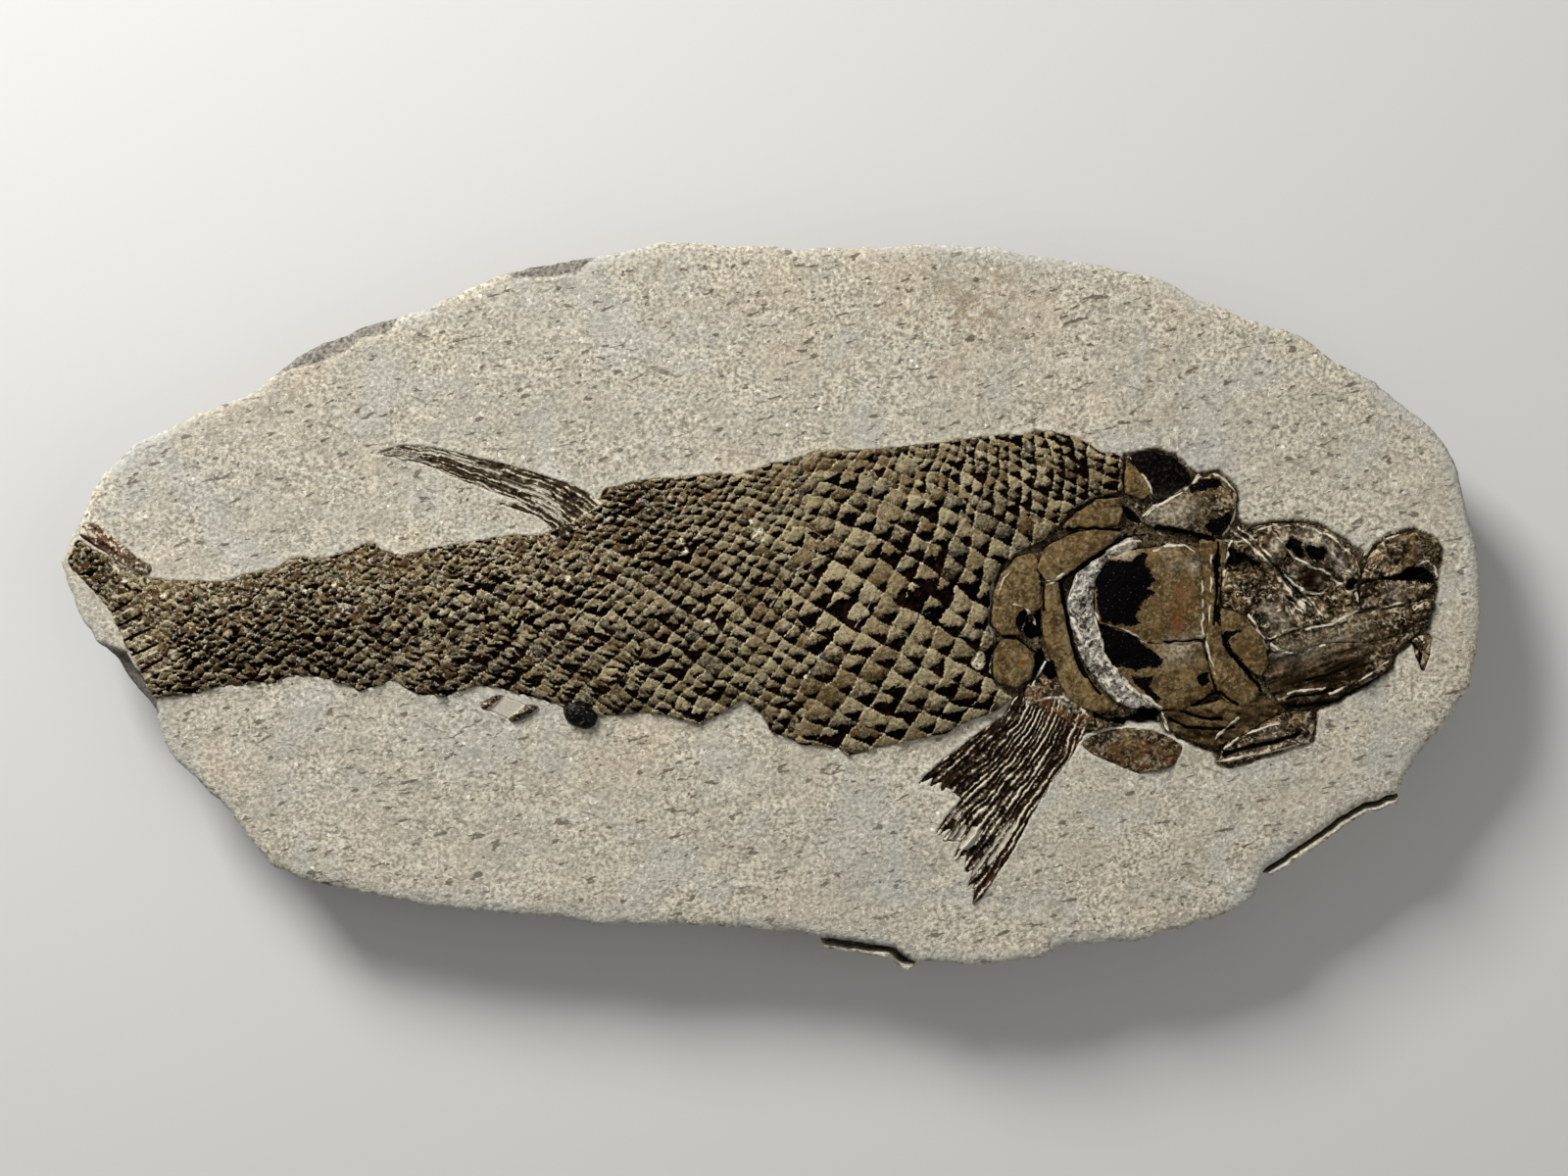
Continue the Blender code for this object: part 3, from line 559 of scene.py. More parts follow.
# White threads and bright broken edges: the width in millimetres, then the path.
HEAD_THREADS = (
    (0.26, (1151, 464), (1159, 476), (1168, 489), (1174, 501), (1176, 510)),
    (0.36, (1168, 526), (1176, 518), (1188, 512), (1203, 503), (1214, 495), (1224, 485)),
    (0.3, (1237, 484), (1250, 490), (1261, 503), (1260, 522), (1254, 537), (1247, 546), (1232, 550)),
    (0.34, (1236, 551), (1256, 552), (1251, 568), (1247, 584)),
    (0.4, (1306, 592), (1318, 608), (1330, 622), (1336, 636)),
    (0.34, (1314, 590), (1328, 604), (1341, 618), (1350, 632)),
    (0.34, (1300, 600), (1310, 616), (1318, 632)),
    (0.32, (1256, 541), (1270, 551), (1281, 562), (1293, 576)),
    (0.22, (1262, 538), (1276, 548), (1288, 560), (1298, 574)),
    (0.26, (1279, 541), (1295, 537), (1329, 537), (1352, 545), (1371, 559), (1383, 574), (1388, 586),
    (1383, 599)),
    (0.3, (1312, 559), (1318, 568), (1333, 576), (1353, 586), (1367, 597)),
    (0.32, (1353, 559), (1361, 569), (1371, 579), (1379, 586)),
    (0.34, (1311, 586), (1320, 598), (1332, 604), (1347, 606), (1356, 598)),
    (0.18, (1296, 552), (1302, 548), (1310, 556), (1308, 572), (1314, 584)),
    (0.18, (1330, 545), (1337, 552), (1342, 548), (1352, 556)),
    (0.18, (1299, 601), (1318, 616), (1333, 631)),
    (0.18, (1304, 597), (1325, 612), (1339, 631)),
    (0.18, (1308, 606), (1316, 620), (1322, 633)),
    (0.16, (1312, 600), (1334, 616), (1346, 628)),
    (0.3, (1295, 652), (1310, 643), (1333, 641), (1358, 637), (1383, 624), (1392, 624), (1419, 618),
    (1434, 614)),
    (0.3, (1295, 656), (1302, 662), (1318, 666), (1333, 664), (1350, 658)),
    (0.28, (1274, 628), (1283, 643), (1295, 662)),
    (0.26, (1383, 605), (1388, 622)),
    (0.26, (1441, 622), (1452, 615), (1462, 612)),
    (0.24, (1226, 593), (1226, 645), (1232, 664), (1239, 689)),
    (0.2, (1235, 553), (1235, 606), (1232, 637)),
    (0.26, (1356, 708), (1381, 696), (1400, 685), (1415, 675)),
    (0.24, (1312, 708), (1335, 703), (1352, 702)),
    (0.34, (1241, 777), (1268, 772), (1300, 766), (1335, 757)),
    (0.24, (1249, 764), (1266, 749), (1290, 742), (1312, 736)),
    (0.3, (1088, 768), (1101, 753), (1115, 748), (1145, 742), (1176, 742)),
    (0.26, (1184, 724), (1191, 744), (1201, 755), (1213, 760)),
    (0.26, (1262, 733), (1250, 742), (1238, 757)),
    (0.3, (1176, 562), (1191, 557), (1208, 556), (1218, 564)),
    (0.42, (1115, 618), (1119, 637), (1126, 667), (1140, 692), (1164, 709), (1184, 723)),
    (0.34, (1094, 633), (1103, 656), (1115, 665), (1124, 679), (1134, 707), (1142, 715)),
    (0.24, (1124, 637), (1145, 642), (1170, 655)),
    (0.26, (1032, 616), (1046, 621), (1055, 631), (1056, 636)),
    (0.22, (1048, 625), (1042, 644)),
    (0.24, (1015, 622), (1018, 604), (1024, 590), (1034, 580)),
    (0.3, (1060, 593), (1072, 594), (1084, 586)),
    (0.3, (1040, 708), (1047, 715), (1047, 733)),
    (0.34, (1056, 716), (1066, 712), (1084, 711), (1099, 719), (1108, 728)),
    (0.22, (1052, 700), (1060, 688), (1066, 676)),
    (0.22, (1390, 570), (1400, 558), (1412, 548), (1428, 541)),
    (0.2, (1409, 552), (1420, 548), (1427, 545)),
    (0.24, (1444, 578), (1456, 572), (1464, 578), (1466, 592)),
    (0.22, (1436, 690), (1440, 672), (1452, 655)),
    (0.3, (1128, 566), (1140, 557), (1152, 553), (1166, 553)),
)
# From here to HEAD_CALM each spot has its middle, its reach and its strength.
# Worn pale patches, with a painted sheen on the suboperculum, and rusty patches; the pectoral fin has some of
# the rust.
HEAD_PALE = (
    # The spots at (1205, 660) and (1190, 668) are a painted sheen on the suboperculum.
    (1205, 660, 14, 0.6), (1190, 668, 12, 0.4), (1216, 578, 6, 1.2), (1196, 574, 14, 0.25),
    (1188, 530, 16, 0.9), (1208, 520, 12, 0.6), (1148, 562, 12, 0.9), (1135, 742, 10, 0.2),
    (1056, 634, 4, 0.8), (1160, 548, 8, 0.6), (1098, 750, 7, 1.0), (1310, 664, 12, 0.35),
    (1335, 660, 12, 0.35), (1360, 650, 12, 0.3), (1385, 638, 12, 0.3), (1302, 630, 12, 0.7),
    (1326, 545, 5, 1.0), (1346, 549, 5, 0.9), (1300, 556, 5, 0.8), (1364, 572, 6, 0.8),
    (1318, 583, 5, 0.6), (1296, 760, 16, 0.3), (1336, 552, 9, 0.7), (1372, 580, 8, 0.7),
    (1150, 528, 7, 0.8), (1083, 714, 8, 0.8), (1045, 713, 7, 0.8), (1225, 650, 5, 1.0),
    (1421, 604, 8, 0.5),
)
HEAD_RUST = (
    (1196, 622, 16, 0.9), (1206, 640, 12, 0.7), (1212, 560, 10, 0.5), (1190, 650, 12, 0.5),
    (1205, 600, 16, 0.5), (1278, 668, 12, 0.5), (1106, 560, 14, 0.35), (1075, 718, 16, 1.0),
    (1050, 708, 8, 0.8), (1096, 735, 10, 1.0), (108, 550, 40, 0.8), (1310, 620, 12, 0.6),
    (1116, 522, 12, 0.35), (1298, 556, 10, 0.5), (1440, 556, 12, 0.5), (1150, 488, 8, 0.8),
    (1092, 640, 12, 0.3), (1270, 612, 10, 0.4), (1044, 676, 3, 1.4), (1027, 662, 3, 1.2),
    (1025, 675, 3, 1.2), (1205, 775, 16, 0.5), (1225, 700, 16, 0.3), (1345, 700, 20, 0.4),
    (1078, 800, 14, 0.9), (1058, 836, 14, 0.9), (1036, 868, 12, 0.9), (1012, 905, 12, 1.0),
    (1098, 765, 12, 0.8), (1130, 765, 24, 0.5), (1166, 770, 20, 0.5),
)
# Rounded ends of small bones in the orbit.
HEAD_LUMPS = (
    (1300, 557, 9, 1.0), (1311, 548, 7, 1.0), (1338, 548, 9, 1.0), (1321, 560, 6, 0.9),
    (1356, 560, 8, 1.0), (1296, 572, 6, 0.8), (1367, 573, 6, 0.8), (1378, 592, 6, 0.7),
    (1290, 622, 7, 0.7), (1308, 640, 8, 0.7), (1330, 575, 5, 0.7), (1345, 592, 5, 0.6),
    (1426, 545, 8, 0.6), (1455, 580, 6, 0.6), (1446, 560, 6, 0.5),
)
# Where two bones meet without the painted shade along their edges.
HEAD_JOINTS = ((1290, 558, 14, 1.0), (1304, 577, 14, 1.0), (1318, 594, 14, 1.0), (1330, 606, 10, 0.8))
# Dark places in the broken bone.
HEAD_SHADE = (
    (1337, 589, 14, 0.8), (1352, 572, 14, 0.3), (1302, 560, 16, 0.2), (1266, 568, 16, 0.4),
    (1350, 706, 50, 0.4), (1330, 596, 16, 0.4), (1440, 560, 18, 0.1), (1215, 520, 24, 0.2),
    (1236, 528, 10, 0.4),
)
# Smooth places among the broken bone.
HEAD_CALM = (
    (1325, 680, 26, 0.9), (1365, 660, 22, 0.8), (1295, 690, 16, 0.7), (1430, 612, 14, 0.5),
    (1212, 516, 28, 0.8), (1440, 558, 20, 0.5), (1140, 762, 44, 0.7), (1176, 762, 24, 0.4),
    (1395, 645, 18, 0.5),
)
# The two rays of the pelvic fin's stub: the width in millimetres, then the path.
PELVIC_RAYS = (
    (0.9, (493, 722), (504, 713), (514, 704)),
    (0.9, (524, 735), (536, 726), (550, 716)),
)

# A bone's slot, its rim's height over the face, the extra height in its middle, the height of its lumps and
# their size, and the height of its streaks and their direction in degrees; all lengths in millimetres.
BONES = {
    "operculum": ("tan_bone", 0.9, 1.5, 0.10, 3.0, 0.04, 70),
    "suboperculum": ("tan_bone", 0.8, 1.1, 0.14, 2.4, 0.06, 20),
    "preoperculum": ("tan_bone", 0.9, 1.1, 0.16, 2.0, 0.18, 95),
    "skull_roof_rear": ("black_bone", 0.5, 1.8, 0.12, 2.0, 0.03, 150),
    "skull_roof_front": ("dark_bone", 0.5, 2.2, 0.25, 2.6, 0.10, 35),
    "occipital_plate": ("tan_bone", 0.6, 0.6, 0.2, 1.8, 0.1, 120),
    "orbit_ring": ("dark_bone", 0.5, 1.6, 0.95, 2.3, 0.1, 140),
    "snout": ("dark_bone", 0.4, 1.9, 0.5, 2.0, 0.1, 30),
    "premaxilla": ("dark_bone", 0.5, 1.0, 0.45, 1.8, 0.15, 10),
    "jugal_plate": ("tan_bone", 0.8, 0.9, 0.12, 2.2, 0.05, 60),
    "lower_jaw": ("dark_bone", 0.6, 1.9, 0.28, 2.2, 0.4, 18),
    "upper_jaw": ("dark_bone", 0.7, 1.4, 0.22, 1.8, 0.16, 15),
    "jaw_splint": ("tan_bone", 0.3, 0.5, 0.12, 1.2, 0.2, 75),
    "cheek_plate": ("dark_bone", 0.5, 0.9, 0.8, 1.9, 0.15, 125),
    "supracleithrum_upper": ("tan_bone", 0.9, 1.2, 0.12, 2.4, 0.05, 30),
    "supracleithrum_lower": ("tan_bone", 1.0, 1.2, 0.12, 2.4, 0.06, 30),
    "cleithrum": ("tan_bone", 0.9, 1.0, 0.1, 2.2, 0.12, 100),
    "gill_rim": ("pale_bone", 0.8, 0.9, 0.32, 1.5, 0.1, 60),
    "shoulder_plate_upper": ("tan_bone", 1.0, 0.8, 0.12, 2.2, 0.04, 90),
    "shoulder_plate_lower": ("tan_bone", 0.9, 0.8, 0.12, 2.2, 0.04, 90),
    "fin_girdle": ("pale_bone", 0.5, 0.8, 0.5, 1.6, 0.4, 55),
    "hyoid_bars": ("tan_bone", 0.5, 0.9, 0.3, 1.8, 0.45, 165),
    "gular_plate": ("dark_bone", 0.4, 1.2, 0.3, 1.8, 0.4, 15),
    "branchiostegal_plate": ("dark_bone", 0.3, 0.9, 0.2, 2.0, 0.08, 0),
    "pelvic_fin_stub": ("fin_bone", 0.3, 0.3, 0.15, 1.2, 0.2, 30),
    "tail_fulcra": ("fin_bone", 0.4, 0.8, 0.1, 1.4, 0.25, 142),
}
# Bones that look unlike the others in their slot.
OTHER_FINISHES = {"fin_girdle": "dark_bone", "jaw_splint": "dark_bone"}
# How much darker than the rest of its kind a bone is.
SHADES = {
    "lower_jaw": 0.5, "upper_jaw": 0.15, "premaxilla": 0.3, "hyoid_bars": 0.5, "gular_plate": 0.1,
    "branchiostegal_plate": 0.15, "fin_girdle": 0.1, "skull_roof_front": 0.1, "suboperculum": 0.15,
}

# The coat's outline, in millimetres.
COAT_RIM = (
    (-143.4, 8.2), (-140.8, 4.8), (-137.0, 1.2), (-134.6, -2.4), (-131.6, -8.6), (-128.4, -14.6),
    (-125.8, -19.6), (-113.2, -17.4), (-100.0, -16.0), (-97.4, -14.8), (-91.8, -15.2), (-83.8, -18.0),
    (-77.4, -15.8), (-71.4, -18.8), (-66.4, -19.0), (-60.0, -16.8), (-55.2, -17.6), (-42.8, -21.0),
    (-35.2, -23.2), (-24.2, -22.4), (-14.8, -24.6), (-9.6, -22.2), (-5.4, -19.8), (-1.6, -23.0),
    (-0.2, -26.4), (7.0, -29.2), (13.0, -29.4), (15.6, -31.4), (22.0, -29.4), (35.4, -26.6),
    (38.2, -24.8), (45.6, -22.4), (49.6, -19.4), (45.2, -16.6), (44.3, -13.0), (45.6, -7.2),
    (44.2, -4.6), (44.4, 2.0), (46.4, 7.0), (50.2, 10.6), (54.4, 11.8), (58.4, 15.8),
    (61.8, 19.4), (65.6, 21.9), (71.4, 22.8), (71.8, 29.6), (67.0, 30.8), (62.6, 33.4),
    (57.2, 35.0), (46.6, 34.0), (28.4, 32.0), (16.6, 30.6), (10.6, 31.2), (5.4, 29.6),
    (-7.0, 26.2), (-24.2, 25.2), (-29.4, 24.4), (-34.2, 22.6), (-34.8, 19.8), (-41.0, 16.8),
    (-46.6, 13.8), (-52.0, 13.6), (-62.2, 12.4), (-75.8, 9.6), (-79.0, 10.4), (-81.6, 12.4),
    (-91.2, 8.8), (-98.4, 9.2), (-101.0, 7.0), (-111.2, 4.6), (-120.8, 4.2), (-127.6, 5.2),
    (-131.6, 6.9), (-136.2, 9.9), (-141.6, 13.0),
)
# Tail to head: x on the mid line, its y, the columns' slant in degrees, a scale's height along its column,
# the distance to the next column, and the columns' bend, in millimetres back for each square millimetre.
BODY_STATIONS = (
    (-170.0, 1.0, 36.0, 3.4, 4.7, 0.0),
    (-125.0, -5.4, 38.0, 3.5, 4.9, 0.0),
    (-97.0, -3.6, 39.0, 3.8, 5.0, 0.0),
    (-57.0, -3.2, 42.0, 4.1, 5.0, 0.0),
    (-17.0, -0.6, 49.0, 4.5, 5.0, 0.001),
    (5.0, 1.0, 56.0, 4.8, 5.1, 0.002),
    (23.0, 2.6, 62.0, 4.8, 5.0, 0.003),
    (42.0, 4.0, 72.0, 4.7, 4.7, 0.005),
    (60.0, 6.0, 76.0, 4.4, 4.5, 0.006),
    (100.0, 9.0, 80.0, 4.4, 4.5, 0.006),
)
# Where much or little black shows between the scales.
FLAKE_SPOTS = (
    (1090, 480, 60, 0.2), (1020, 500, 60, 0.15), (960, 570, 36, 0.14), (985, 610, 44, 0.3),
    (1000, 660, 30, 0.2), (700, 650, 40, 0.1), (520, 665, 60, 0.3), (400, 665, 50, 0.3),
    (300, 662, 50, 0.55), (220, 662, 36, 0.65), (577, 538, 12, 2.0), (600, 690, 40, 0.2),
    (240, 596, 80, -0.5), (400, 585, 70, -0.4), (560, 550, 50, -0.3), (130, 590, 60, -0.5),
    (140, 660, 34, -0.5), (640, 510, 40, 0.2), (890, 740, 40, 0.1), (960, 700, 30, 0.1),
    (740, 560, 50, 0.1), (800, 470, 80, -0.3), (880, 480, 60, -0.2),
)
# Where the scales are paler, or darker, than the rest.
SCALE_TONE = (
    (880, 620, 90, 0.2), (200, 665, 50, -0.4), (577, 538, 12, -1.5), (330, 600, 120, -0.2),
    (150, 670, 40, 0.5), (648, 508, 36, -0.9), (700, 470, 60, 0.05), (960, 650, 50, 0.05),
    (260, 600, 80, -0.05), (98, 585, 26, -0.8), (86, 566, 16, -0.6), (440, 580, 60, -0.05),
    (1100, 470, 50, -0.1), (620, 700, 60, -0.2), (820, 740, 50, -0.25), (400, 690, 80, -0.2),
    (1000, 620, 50, 0.05), (540, 710, 40, -0.25), (300, 665, 60, -0.3), (420, 660, 60, -0.2),
    (520, 680, 50, -0.2), (1045, 448, 26, -0.3), (980, 458, 40, -0.1),
)
# Where the lattice is finer.
FINE_SPOTS = (
    (1060, 470, 56, 1.2), (1105, 496, 36, 0.9), (985, 470, 44, 1.1), (900, 480, 40, 0.6),
    (130, 590, 80, 1.2), (240, 590, 70, 1.1), (340, 592, 60, 1.1), (430, 575, 50, 1.0),
    (520, 560, 40, 0.9),
)
# Where the lumps are thin rows.
SLIT_SPOTS = ((600, 678, 56, 1.0), (500, 684, 44, 1.0), (420, 684, 30, 0.8))
# Pale broken edges of scales: the width in millimetres, then the path.
COAT_THREADS = (
    (0.22, (577, 640), (598, 620), (622, 596)),
    (0.2, (786, 619), (798, 600), (810, 583), (828, 572), (849, 565)),
    (0.18, (820, 650), (837, 634)),
    (0.18, (829, 676), (840, 664), (849, 654)),
    (0.18, (872, 640), (884, 622), (892, 606)),
    (0.2, (594, 522), (608, 533), (619, 544)),
    (0.2, (615, 518), (634, 527), (656, 536)),
    (0.16, (604, 519), (618, 530), (634, 542)),
    (0.2, (88, 544), (104, 560), (123, 583)),
    (0.4, (112, 632), (126, 626), (140, 618)),
    (0.4, (120, 648), (134, 641), (148, 634)),
    (0.4, (128, 662), (142, 655), (156, 650)),
    (0.4, (134, 678), (148, 671), (162, 664)),
    (0.4, (146, 694), (160, 686), (176, 680)),
)
# Black gaps between the pale bars at the tail's end.
COAT_SLITS = (
    (0.35, (106, 628), (120, 622), (134, 614)),
    (0.35, (114, 642), (130, 635), (146, 627)),
    (0.35, (122, 656), (138, 649), (154, 642)),
    (0.35, (130, 671), (146, 664), (162, 657)),
    (0.35, (138, 687), (152, 680), (168, 672)),
)
# Where the scales are broken into brown and pale flecks, and where a large cream fleck lies.
FLECKED = ((180, 600, 120, 1.0), (420, 590, 110, 0.8), (590, 550, 80, 0.8), (700, 500, 60, 0.4),
(1000, 450, 40, 0.4))
CREAM_FLECKS = (
    (774, 546, 8, 1.3), (767, 532, 4, 0.8), (998, 676, 7, 1.4), (312, 604, 3, 1.2), (342, 596, 3, 1.1),
    (168, 608, 3, 1.2), (120, 582, 4, 0.9), (128, 592, 4, 0.9), (528, 594, 3, 1.0), (822, 690, 3, 0.9),
    (722, 634, 5, 0.8), (696, 552, 5, 0.8), (700, 562, 4, 0.8), (575, 578, 5, 0.7), (660, 566, 4, 0.6),
    (580, 590, 5, 0.8), (756, 698, 3, 0.8), (1000, 668, 4, 0.8), (1013, 520, 4, 0.5),
)

# Each fin's outline, and the two edges that its rays fan out between.
PECTORAL_RIM_PX = (
    (1034, 714), (1044, 705), (1058, 706), (1076, 712), (1094, 720), (1104, 732), (1108, 746),
    (1092, 773), (1075, 794), (1062, 815), (1051, 835), (1037, 862), (1027, 879), (1010, 903),
    (1001, 917), (992, 923), (996, 905), (987, 908), (993, 886), (984, 892), (986, 872), (973, 877),
    (981, 858), (961, 858), (970, 846), (952, 854), (966, 832), (981, 815), (966, 803), (957, 811),
    (962, 797), (948, 804), (952, 793), (932, 803), (948, 788), (962, 775), (981, 762), (1001, 746),
    (1024, 731),
)
PECTORAL_EDGES_PX = (
    ((1030, 706), (1002, 744), (960, 774), (925, 806), (890, 840)),
    ((1112, 722), (1098, 770), (1055, 835), (1018, 898), (985, 950)),
)
DORSAL_RIM_PX = (
    (616, 514), (601, 504), (585, 495), (565, 488), (538, 480), (514, 473), (487, 467), (459, 460),
    (431, 455), (411, 454), (399, 457), (383, 463), (404, 467), (427, 472), (447, 478), (459, 485),
    (479, 493), (502, 502), (526, 509), (541, 517), (523, 514), (496, 511), (521, 518), (546, 526),
    (558, 534), (566, 542), (590, 540), (606, 528),
)
DORSAL_EDGES_PX = (
    ((626, 520), (601, 503), (565, 487), (514, 472), (459, 459), (411, 453), (370, 459)),
    ((580, 552), (558, 536), (526, 517), (479, 496), (447, 481), (404, 468), (370, 464)),
)


# ---------------------------------------------------------------- fields read from those tables


STROKE_REACH = 4.0  # how many widths from its path a stroke is worked out
AREA_BLUR = 1.0  # the most depth that an outlined area has either way, in millimetres


def strokes(points, table):
    """Strength from 0 to 1 of the nearest stroke, each a width and a path."""
    strength = np.zeros(len(points))
    for width, *path in table:
        line = at(path)
        near = close_to(points, line, STROKE_REACH * width)
        if near.any():
            distance = path_distance(points[near], line)
            strength[near] = np.maximum(strength[near], np.exp(-((distance / width) ** 2)))
    return strength


def areas(points, table):
    """Signed depth in millimetres inside the nearest of the outlined areas."""
    depth = np.full(len(points), -AREA_BLUR)
    for outline in table:
        shape = at(outline)
        near = close_to(points, shape, AREA_BLUR)
        if near.any():
            depth[near] = np.maximum(depth[near], depth_inside(points[near], shape))
    return np.minimum(depth, AREA_BLUR)


def spots(points, table):
    """The sum of round spots, each with x and y in pixels, reach in pixels and strength."""
    total = np.zeros(len(points))
    for x, y, reach, strength in table:
        away = np.hypot(*(points - at((x, y))).T) / (reach * PIXEL_MM)
        total += strength * np.exp(-(away**2))
    return total


# ---------------------------------------------------------------- head bones


THREAD_RISE, CRACK_DROP, FLAKE_DROP, LUMP_RISE = 0.24, 0.5, 0.32, 0.7  # in millimetres
STREAK_STRETCH = (5.0, 1.0)
FILM_HEIGHT = 0.12  # of the rock between the pelvic fin's two rays, over the face


def bone_field(points):
    """The attributes that every bone and the broken bone between them share."""
    jagged = shaken(points, 0.2, 1.4, 64, 2)
    lumps = spots(points, HEAD_LUMPS)
    # Painted shade in a ring round each raised lump.
    lump_shade_ring = lumps * np.clip(1 - lumps, 0, 1)
    return {
        "lump": lumps,
        "black": areas(jagged, HEAD_BLACKS) + 0.16 * fractal(points, 1.1, 61),
        "crack_and_shadow": strokes(jagged, HEAD_CRACKS_AND_SHADOW),
        "thread": strokes(jagged, HEAD_THREADS) * (0.85 + 0.55 * value_noise(points, 1.5, 62)),
        "pale": np.clip(spots(points, HEAD_PALE) + lumps**2, 0, 1.5),
        "rust": np.clip(spots(points, HEAD_RUST), 0, 1.5),
        "calm": np.clip(spots(points, HEAD_CALM) + 0.6 * lumps, 0, 1),
        # Besides the dark spots, painted shade in the ring round each lump.
        "shade": np.clip(spots(points, HEAD_SHADE) + 1.6 * lump_shade_ring, 0, 1),
    }


def carved(field):
    """How the shared attributes raise or lower a bone's surface, in millimetres."""
    hollow = smoothstep(field["black"], 0.0, 0.35)
    carving = THREAD_RISE * field["thread"] - CRACK_DROP * field["crack_and_shadow"] - FLAKE_DROP * hollow
    return carving + LUMP_RISE * field["lump"]


def ray_share(node, points):
    """1 on a bone's own surface, and 0 on the film of rock between the two rays of the pelvic fin's stub."""
    if node != "pelvic_fin_stub":
        return np.ones(len(points))
    return smoothstep(strokes(shaken(points, 0.2, 1.2, 67), PELVIC_RAYS), 0.1, 0.5)


def bone_height(node, points, depth, field):
    """Each point's height over the slab's back."""
    _, edge_height, dome, lump, lump_size, streak, direction = BONES[node]
    crests = ridged(points, 1.2 * lump_size, 12) - 0.6
    bumps = 1.3 * lump * (fractal(points, lump_size, 11, 4) + 0.8 * crests)
    streaks = streak * fractal(turned(points, direction) / STREAK_STRETCH, 0.8, 13, 2)
    swell = 0.5 * dome * (1 - np.exp(-depth / 4.0))
    top = SLAB_TOP + edge_height + 0.3 + swell + 0.4 * value_noise(points, 6.0, 14)
    top = top - 0.3 * np.exp(-depth / 0.18) + (bumps + streaks) * smoothstep(depth, 0, 0.4) + carved(field)
    share = 1 - field["rocky"]
    return top * share + (SLAB_TOP + FILM_HEIGHT) * (1 - share)


def make_bone(node, finishes):
    """Builds one bone over its CAD node, and returns its outline."""
    slot, direction = BONES[node][0], BONES[node][-1]
    rim = softened(footprint(node), PLATE_STEP, CORNER_RADIUS)
    rim = roughened(rim + BONE_GROWTH * outward(rim), 2.2, 0.16, len(node))
    points, faces = plate(rim, PLATE_STEP)
    depth = rim_distance(points, rim)
    along = turned(points, direction)
    mottle = 1 + 0.7 * fractal(along / (3.0, 1.0), 1.3, 65, 2)
    field = bone_field(points)
    field["edge"] = np.minimum(depth + spots(points, HEAD_JOINTS), 1.0)
    field["streak"] = fractal(along / STREAK_STRETCH, 1.1, 66, 3)
    field["crest"] = 0.45 + 0.35 * fractal(along / (6.0, 1.0), 0.7, 13, 2)
    field["shade"] = field["shade"] + SHADES.get(node, 0.0) * mottle
    field["rocky"] = 1 - ray_share(node, points)
    top = bone_height(node, points, depth, field)
    finish = finishes[OTHER_FINISHES.get(node, slot)]
    standing(node, rim, points, top, faces, field, finish, slot)
    return rim


# ---------------------------------------------------------------- the coat of scales


ROW_STEP = 0.67  # the rows step down by this share of a scale from each column to the next
ROW_CLOSING = 0.03  # how much closer the rows get, for each row away from the mid line
LATTICE_ROUNDS = 24  # of the search for a point's column
FINE_FROM, FINE_TO = 14.0, -2.0  # the lattice gets finer over this stretch of x, in millimetres
COAT_EDGE_HEIGHT, COAT_DOME, COAT_DOME_REACH = 0.2, 2.5, 10.0
COAT_TOP = SLAB_TOP + 3.45
FLAKE_BASE = 0.56  # how much black shows where scales have flaked, apart from FLAKE_SPOTS
FLAKE_LEVEL = 1.54  # the distance over a whole scale at which its far corner starts to flake
SCALE_MIDDLE = (0.36, 0.64)
FLAKE_RELIEF = 0.5  # how far a flaked corner is below its scale, in millimetres


def along_body(x):
    """The stations' values at x, straight between the stations."""
    stations = np.array(BODY_STATIONS)
    return [np.interp(x, stations[:, 0], stations[:, n]) for n in range(1, stations.shape[1])]


def column_starts():
    xs = [BODY_STATIONS[0][0]]
    while xs[-1] < BODY_STATIONS[-1][0]:
        xs.append(xs[-1] + along_body(xs[-1])[3])
    return xs


def lattice_place(points):
    """Each point's column and row in the lattice of scales; scales part at the whole numbers."""
    starts = column_starts()
    x = points[:, 0]
    for _ in range(LATTICE_ROUNDS):
        y, slant, height, _, bend = along_body(x)
        reach = (points[:, 1] - y) / np.sin(np.radians(slant))
        foot = points[:, 0] - reach * np.cos(np.radians(slant)) + bend * reach**2
        x = (x + foot) / 2
    rows = reach / height
    column = np.interp(x, starts, np.arange(len(starts)))
    return column, rows * (1 + ROW_CLOSING * abs(rows)) + ROW_STEP * column


def cell_means(ids, values):
    """Each point's value as the mean over its scale."""
    _, cell = np.unique(ids, return_inverse=True)
    return (np.bincount(cell, values) / np.bincount(cell))[cell]


def parted(points, column, row):
    """Makes the lattice finer where the body has smaller scales; also by how much."""
    ids = np.floor(column) * 57 + np.floor(row)
    fine = 1 - smoothstep(points[:, 0], FINE_TO, FINE_FROM) + spots(points, FINE_SPOTS)
    fine = cell_means(ids, fine) + 0.4 * (random_of(ids, 50) - 0.5)
    slit = cell_means(ids, spots(points, SLIT_SPOTS)) + 0.3 * random_of(ids, 54) > 0.6
    share = np.select([fine > 1.55, fine > 0.45], [2.0, 1.5], 1.0)
    across, up = np.where(slit, 1.0, share), np.where(slit, 2.5, share)
    return column * across, row * up, np.maximum(across, up)


def coat_lattice(points):
    """Each point's column and row among the scales, and how many times finer the lattice is there."""
    tail = 1 - smoothstep(points[:, 0], -60, -20)
    shaking = (0.2 + 0.25 * tail)[:, None]
    column, row = lattice_place(shaken(shaken(points, 0.7, 3.8, 25), shaking, 1.2, 28, 2))
    return parted(points, column, row)


def wedge_distance(u, v, chance):
    """The distance from a scale's upper back corner; what is far is a wedge at its lower front corner."""
    right = u + 0.18 * (chance[2] - 0.5)
    low = 1 - v + 0.18 * (chance[3] - 0.5)
    return right * (0.82 + 0.36 * chance[0]) + low * (0.82 + 0.36 * chance[5])


